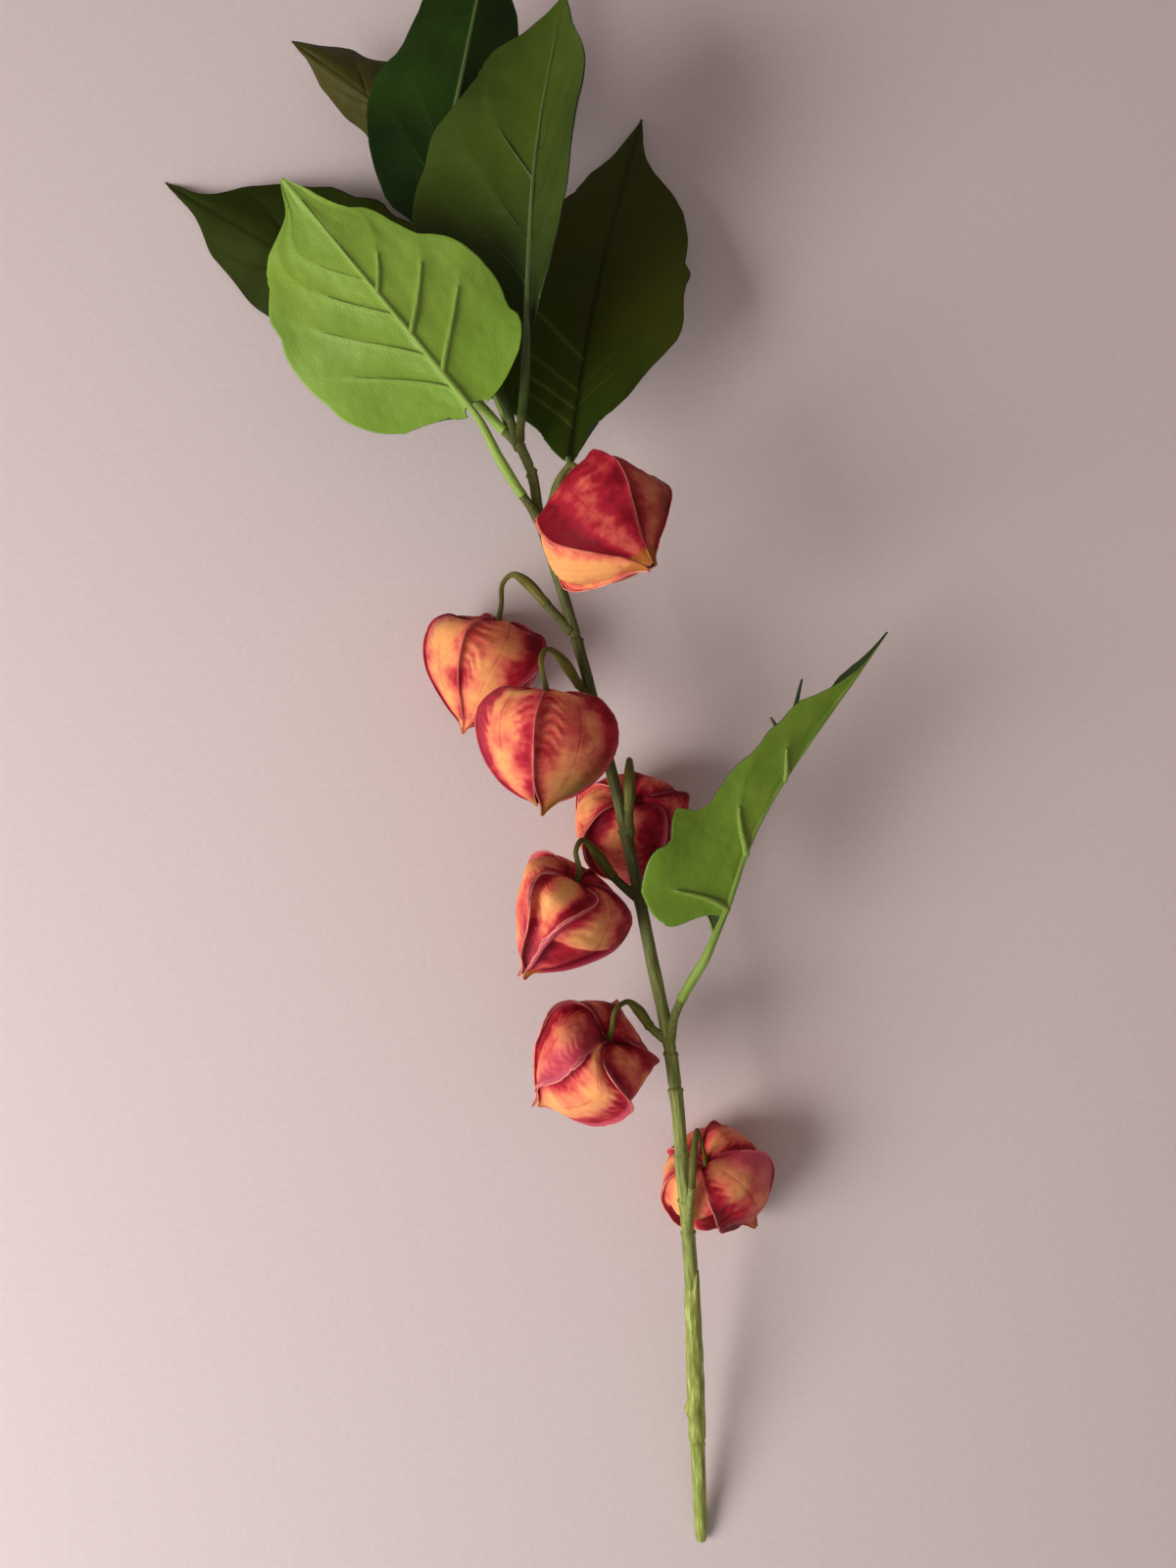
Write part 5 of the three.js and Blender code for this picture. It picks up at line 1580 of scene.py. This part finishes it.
def leaves() -> list[Leaf]:
    """The seven leaves, numbered from the lowest of the leafy top, then the one half way down."""
    pale_vein = srgb(150, 180, 80)
    light = BladeFinish("leaf_light", srgb(136, 164, 58), srgb(110, 140, 44), pale_vein,
                        srgb(142, 172, 74), srgb(122, 156, 46))
    fresh = BladeFinish("leaf_fresh", srgb(116, 142, 38), srgb(86, 112, 24), pale_vein,
                        srgb(120, 146, 50), srgb(104, 134, 32))
    # painted shade: leaves 5 and 4 (middle, deep and vein_deep) and leaf 2 (dusky) get darker greens than
    # the same sides of the other leaves, for the shade they lie in
    middle = BladeFinish("leaf_middle", srgb(66, 82, 18), srgb(46, 60, 10), srgb(62, 76, 20),
                         srgb(52, 66, 16), srgb(36, 48, 8), 0.5, 0.15)
    deep = BladeFinish("leaf_deep", srgb(36, 58, 10), srgb(16, 32, 6), srgb(52, 72, 26),
                       srgb(28, 46, 10), srgb(20, 38, 6), 0.5, 0.1)
    dark = BladeFinish("leaf_dark", srgb(60, 62, 12), srgb(50, 60, 10), srgb(24, 20, 4),
                       srgb(112, 128, 50), srgb(50, 68, 12), 0.42, 0.08)
    dusky = BladeFinish("leaf_dusky", srgb(46, 54, 10), srgb(32, 40, 6), srgb(26, 32, 6),
                        srgb(36, 44, 8), srgb(42, 50, 8), 0.6, 0.05)
    olive = BladeFinish("leaf_olive", srgb(74, 68, 22), srgb(50, 48, 12), srgb(48, 42, 12),
                        srgb(56, 54, 16), srgb(52, 58, 16), 0.5, 0.12)
    under = BladeFinish("leaf_under", srgb(46, 60, 26), srgb(34, 46, 18), srgb(60, 74, 34),
                        srgb(56, 70, 32), srgb(44, 58, 26))
    green_vein = StemFinish("vein_green", srgb(150, 178, 76), srgb(112, 138, 46), 8, 6)
    fresh_vein = StemFinish("vein_fresh", srgb(134, 158, 64), srgb(98, 122, 38), 8, 6)
    deep_vein = StemFinish("vein_deep", srgb(84, 100, 42), srgb(48, 60, 18), 8, 6, ladder=(
        (0, srgb(124, 138, 70)), (0.69, srgb(120, 134, 66)), (0.73, srgb(62, 76, 22)),
        (0.81, srgb(58, 72, 20)), (0.845, srgb(116, 138, 84)), (0.93, srgb(98, 120, 62)),
        (1, srgb(98, 120, 62)),
    ))
    low_ribs = (SideRib(-1, 0.1, 0.33, 0.6, 0.18), SideRib(1, 0.15, 0.35, 0.5, 0.18),
                SideRib(-1, 0.23, 0.46, 0.5, 0.18), SideRib(1, 0.32, 0.5, 0.4, 0.18),
                SideRib(-1, 0.43, 0.59, 0.42, 0.55), SideRib(1, 0.5, 0.62, 0.3, 0.18))
    faint_ribs = (SideRib(-1, 0.1, 0.33, 0.6, 0.15), SideRib(1, 0.15, 0.35, 0.5, 0.15),
                  SideRib(-1, 0.23, 0.46, 0.5, 0.15))
    crease_ribs = (SideRib(-1, 0.08, 0.17, 0.52, 0.8), SideRib(-1, 0.14, 0.23, 0.52, 0.9),
                   SideRib(-1, 0.2, 0.31, 0.55, 0.8), SideRib(-1, 0.31, 0.44, 0.52, 0.9),
                   SideRib(1, 0.15, 0.27, 0.4, 0.45), SideRib(1, 0.21, 0.33, 0.32, 0.4))
    return [
        Leaf(1, ((-17.5, 96.5, 58), (-21, 101.5, 61), (-24.5, 106, 63), (-32, 117.5, 67.5),
                 (-38.5, 129.5, 72.5)), 12, ((-42.5, 135, 72.5), (-75, 174, 78), (-107.5, 213, 79)),
             Half(40, -10, 0.5, 0.7,
                  (38, 38, 63, 91, 97, 100, 101, 102, 103, 102, 101, 101, 102, 103, 104, 104, 105, 105, 104,
                  101, 103, 106, 105, 101, 97, 102, 119, 145, 130, 94, 85, 93, 120)),
             Half(37, -5, 0.25, 0.9,
                  (60, 72, 85, 91, 95, 96, 92, 94, 98, 101, 103, 104, 106, 106, 106, 105, 102, 95, 85, 84,
                  84, 84, 86, 87, 84, 68, 68, 80, 99, 109, 105, 83, 69)),
             3, 1.6, 1, light, under, green_vein,
             (SideRib(1, 0.144, 0.338, 0.65, 1.15), SideRib(1, 0.312, 0.475, 0.575, 1.15),
              SideRib(1, 0.49, 0.594, 0.325, 1), SideRib(-1, 0.069, 0.331, 0.65, 0.75),
              SideRib(-1, 0.212, 0.512, 0.6, 0.75), SideRib(-1, 0.388, 0.594, 0.4, 0.7),
              SideRib(-1, 0.544, 0.688, 0.3, 0.4))),
        Leaf(2, ((-25.5, 125, 60), (-28.5, 127.5, 59.2), (-31.5, 130.5, 58), (-38, 138.5, 53),
                 (-52, 156, 40.5), (-69, 174.5, 31.8)), 7,
             ((-76, 178.5, 32), (-118, 209.5, 17.5), (-174, 247, 0.3)),
             Half(31, -34, 0.42, 0.95),
             Half(39, -6, 0.42, 1.05,
                  (80, 100, 103, 100, 98, 100, 102, 102, 100, 97, 98, 102, 103, 100, 96, 97, 100, 102, 100,
                  98, 100, 103, 104, 100, 95, 90, 80, 66, 52, 45, 50, 70, 90)),
             3, 2, -1, dusky, under, green_vein),
        Leaf(3, ((-25, 123.5, 59.5), (-27.5, 128, 56.5), (-29.5, 133.5, 55.5), (-37, 153, 53.5),
                 (-45, 180, 46), (-49, 210, 38), (-51.5, 233.5, 34)), 9,
             ((-57, 241, 35), (-85.5, 267, 31), (-116, 291, 26)),
             Half(18, -60, 0.42, 0.9),
             Half(24, -30, 0.42, 0.8,
                  (80, 100, 100, 102, 103, 100, 97, 95, 97, 100, 103, 104, 102, 98, 95, 96, 100, 104, 106,
                  104, 100, 97, 98, 104, 112, 124, 142, 165, 180, 180, 165, 140, 120)),
             0, 1, -1, olive, under, green_vein),
        Leaf(4, ((-26, 126, 60), (-27.5, 130.5, 60.2), (-29.2, 135.5, 60), (-33.5, 147, 58.5),
                 (-44, 175, 54), (-54.5, 199, 52.5)), 8,
             ((-58.5, 210, 51), (-47.5, 262.5, 51), (-35, 326, 49)),
             Half(34, -14, 0.42, 0.85,
                  (40, 44, 70, 77, 79, 82, 85, 88, 91, 94, 98, 102, 106, 109, 111, 112, 112, 107, 95, 90, 90,
                  90, 90, 94, 100, 109, 130, 150, 150, 140, 130, 120, 120)),
             Half(32, -40, 0.42, 0.85), 5, 2, 1, deep, under, deep_vein, faint_ribs),
        Leaf(5, ((-25.5, 126, 60), (-24.6, 131, 61.5), (-24, 135.5, 62), (-23, 146, 63),
                 (-22.4, 160, 64)), 8, ((-22.3, 168.5, 62), (-18.7, 227, 65), (-9, 286, 64)),
             Half(45, -12, 0.4, 0.75,
                  (30, 45, 74, 91, 93, 97, 101, 101, 102, 104, 105, 105, 105, 105, 104, 102, 103, 104, 105,
                  104, 100, 97, 94, 93, 92, 99, 121, 155, 170, 160, 140, 120, 100)),
             Half(27, 58, 0.7, 0.45,
                  (50, 54, 57, 64, 68, 71, 73, 73, 74, 77, 79, 83, 88, 91, 94, 97, 98, 97, 96, 94, 91, 89,
                  87, 85, 82, 79, 84, 95, 105, 98, 83, 67, 58)),
             3, 1.8, 1, middle, under, deep_vein, low_ribs),
        Leaf(6, ((-11, 76.5, 56), (-8.6, 82.4, 56.3), (-7.4, 88, 56), (-7, 98, 55.5),
                 (-7.5, 110, 55)), 8, ((-7, 122, 54), (2.3, 187, 31), (22, 273, 0.3)),
             Half(38, -6, 0.45, 0.95,
                  (20, 20, 30, 55, 83, 100, 103, 105, 105, 106, 108, 109, 110, 111, 112, 114, 114, 113, 114,
                  112, 110, 108, 107, 105, 103, 97, 113, 145, 160, 150, 140, 120, 100)),
             Half(36, 8, 1, 1.1,
                  (30, 30, 30, 32, 40, 55, 65, 70, 72, 74, 78, 84, 91, 98, 100, 100, 98, 97, 99, 105, 98,
                  102, 106, 108, 110, 111, 119, 122, 117, 99, 88, 103, 130)),
             3, 2.2, -1, dark, under, green_vein, crease_ribs),
        Leaf(7, ((30.5, -96.5, 48.5), (32, -88, 50), (34.5, -81, 52), (38.5, -72.5, 56),
                 (43, -63.5, 61.5), (45.4, -57.5, 63)), 17.5,
             ((48.8, -48.5, 62), (62.5, -12.5, 62), (109, 55.5, 62)),
             Half(35, 14, 0.1, 1,
                  (95, 100, 100, 102, 104, 105, 104, 98, 97, 103, 110, 115, 119, 95, 90, 89, 94, 98, 104,
                  108, 106, 111, 123, 122, 133, 142, 136, 137, 138, 107, 95, 89, 89), 7),
             Half(34, -145, 0.4, 0.9,
                  (5, 10, 25, 45, 60, 70, 75, 70, 70, 72, 75, 75, 75, 62, 60, 60, 62, 64, 65, 65, 65, 66, 66,
                  66, 68, 68, 66, 80, 130, 140, 100, 70, 60)),
             9, 2, 1, fresh, under, fresh_vein,
             (SideRib(-1, 0.045, 0.078, 0.62, 1.4), SideRib(-1, 0.331, 0.494, 0.5, 1.4),
              SideRib(-1, 0.615, 0.675, 0.5, 1.2)),
             (((76.5, 28, 56), (78.9, 38.4, 56)), ((70, 20.5, 56), (67.6, 24.3, 56)))),
    ]


# ---- Studio --------------------------------------------------------------------------------


@dataclass
class Studio:
    """The pale surface the stem lies on, the soft light and the camera straight above."""

    floor_size: float = 6.0
    camera_height: float = 550.0
    lens: float = 30.71
    sensor: float = 36.0
    room: Colour = (0.9, 0.8, 0.78)
    room_strength: float = 0.28
    lamps: Sequence[tuple[str, Point, float, float, Colour]] = (
        ("key", (-1.0, -0.4, 0.82), 0.8, 19.0, (1.0, 1.0, 1.0)),
        ("fill", (0.5, -0.4, 1.6), 1.6, 2.0, (1.0, 0.9, 0.88)),
        ("low", (-0.62, -0.85, 0.4), 0.5, 1.8, (0.72, 0.98, 1.2)),
    )

    def build(self) -> None:
        """Builds the floor, the lights and the camera."""
        self.build_floor()
        for lamp in self.lamps:
            self.light(*lamp)
        world = bpy.data.worlds.new("soft_room")
        world.use_nodes = True
        background = world.node_tree.nodes["Background"]
        background.inputs["Color"].default_value = (*self.room, 1.0)
        background.inputs["Strength"].default_value = self.room_strength
        bpy.context.scene.world = world
        bpy.context.scene.view_settings.view_transform = "Standard"
        camera = bpy.data.cameras.new("view")
        camera.lens = self.lens
        camera.sensor_width = self.sensor
        camera.clip_start = 0.01
        holder = bpy.data.objects.new("view", camera)
        holder.location = in_row(Vector((0, 0, self.camera_height)))
        bpy.context.scene.collection.objects.link(holder)
        bpy.context.scene.camera = holder

    def build_floor(self) -> None:
        """Builds the pale floor."""
        net = bmesh.new()
        bmesh.ops.create_grid(net, x_segments=2, y_segments=2, size=self.floor_size / 2)
        mesh = bpy.data.meshes.new("floor")
        net.to_mesh(mesh)
        net.free()
        floor = bpy.data.objects.new("floor", mesh)
        bpy.context.scene.collection.objects.link(floor)
        finish = Finish("pale_floor", 0.85)
        recipe = finish.recipe
        grain = recipe.noise(finish.place, 420.0, 3.0)
        finish.colour(recipe.blend(srgb(206, 188, 184), srgb(214, 197, 193), grain))
        finish.relief(grain, 0.15, 0.0006)
        mesh.materials.append(finish.material)

    @staticmethod
    def light(name: str, place: Point, size: float, power: float, colour: Colour) -> None:
        """Adds a soft square light that looks at the middle of the stem."""
        lamp = bpy.data.lights.new(name, "AREA")
        lamp.size = size
        lamp.energy = power
        lamp.color = colour
        holder = bpy.data.objects.new(name, lamp)
        holder.location = place
        aim = Vector((0.0, 0.0, 0.03)) - Vector(place)
        holder.rotation_euler = aim.to_track_quat("-Z", "Y").to_euler()
        bpy.context.scene.collection.objects.link(holder)


def main() -> None:
    """Builds and dresses every piece, then the studio."""
    logging.basicConfig(level=logging.INFO, format="%(name)s: %(message)s")
    palette = make_palette()
    hanging = lanterns()
    foliage = leaves()
    stem = Stem()
    stubs = [(one.line, one.stub, one.stub_thick) for one in [*hanging, *foliage]]
    stem.build(stubs, palette)
    for lantern in hanging:
        lantern.build_stalk(palette)
        lantern.build_petals(palette)
    for leaf in foliage:
        leaf.build_blade(palette)
        leaf.build_veins(palette)
    Studio().build()


if __name__ == "__main__":
    main()
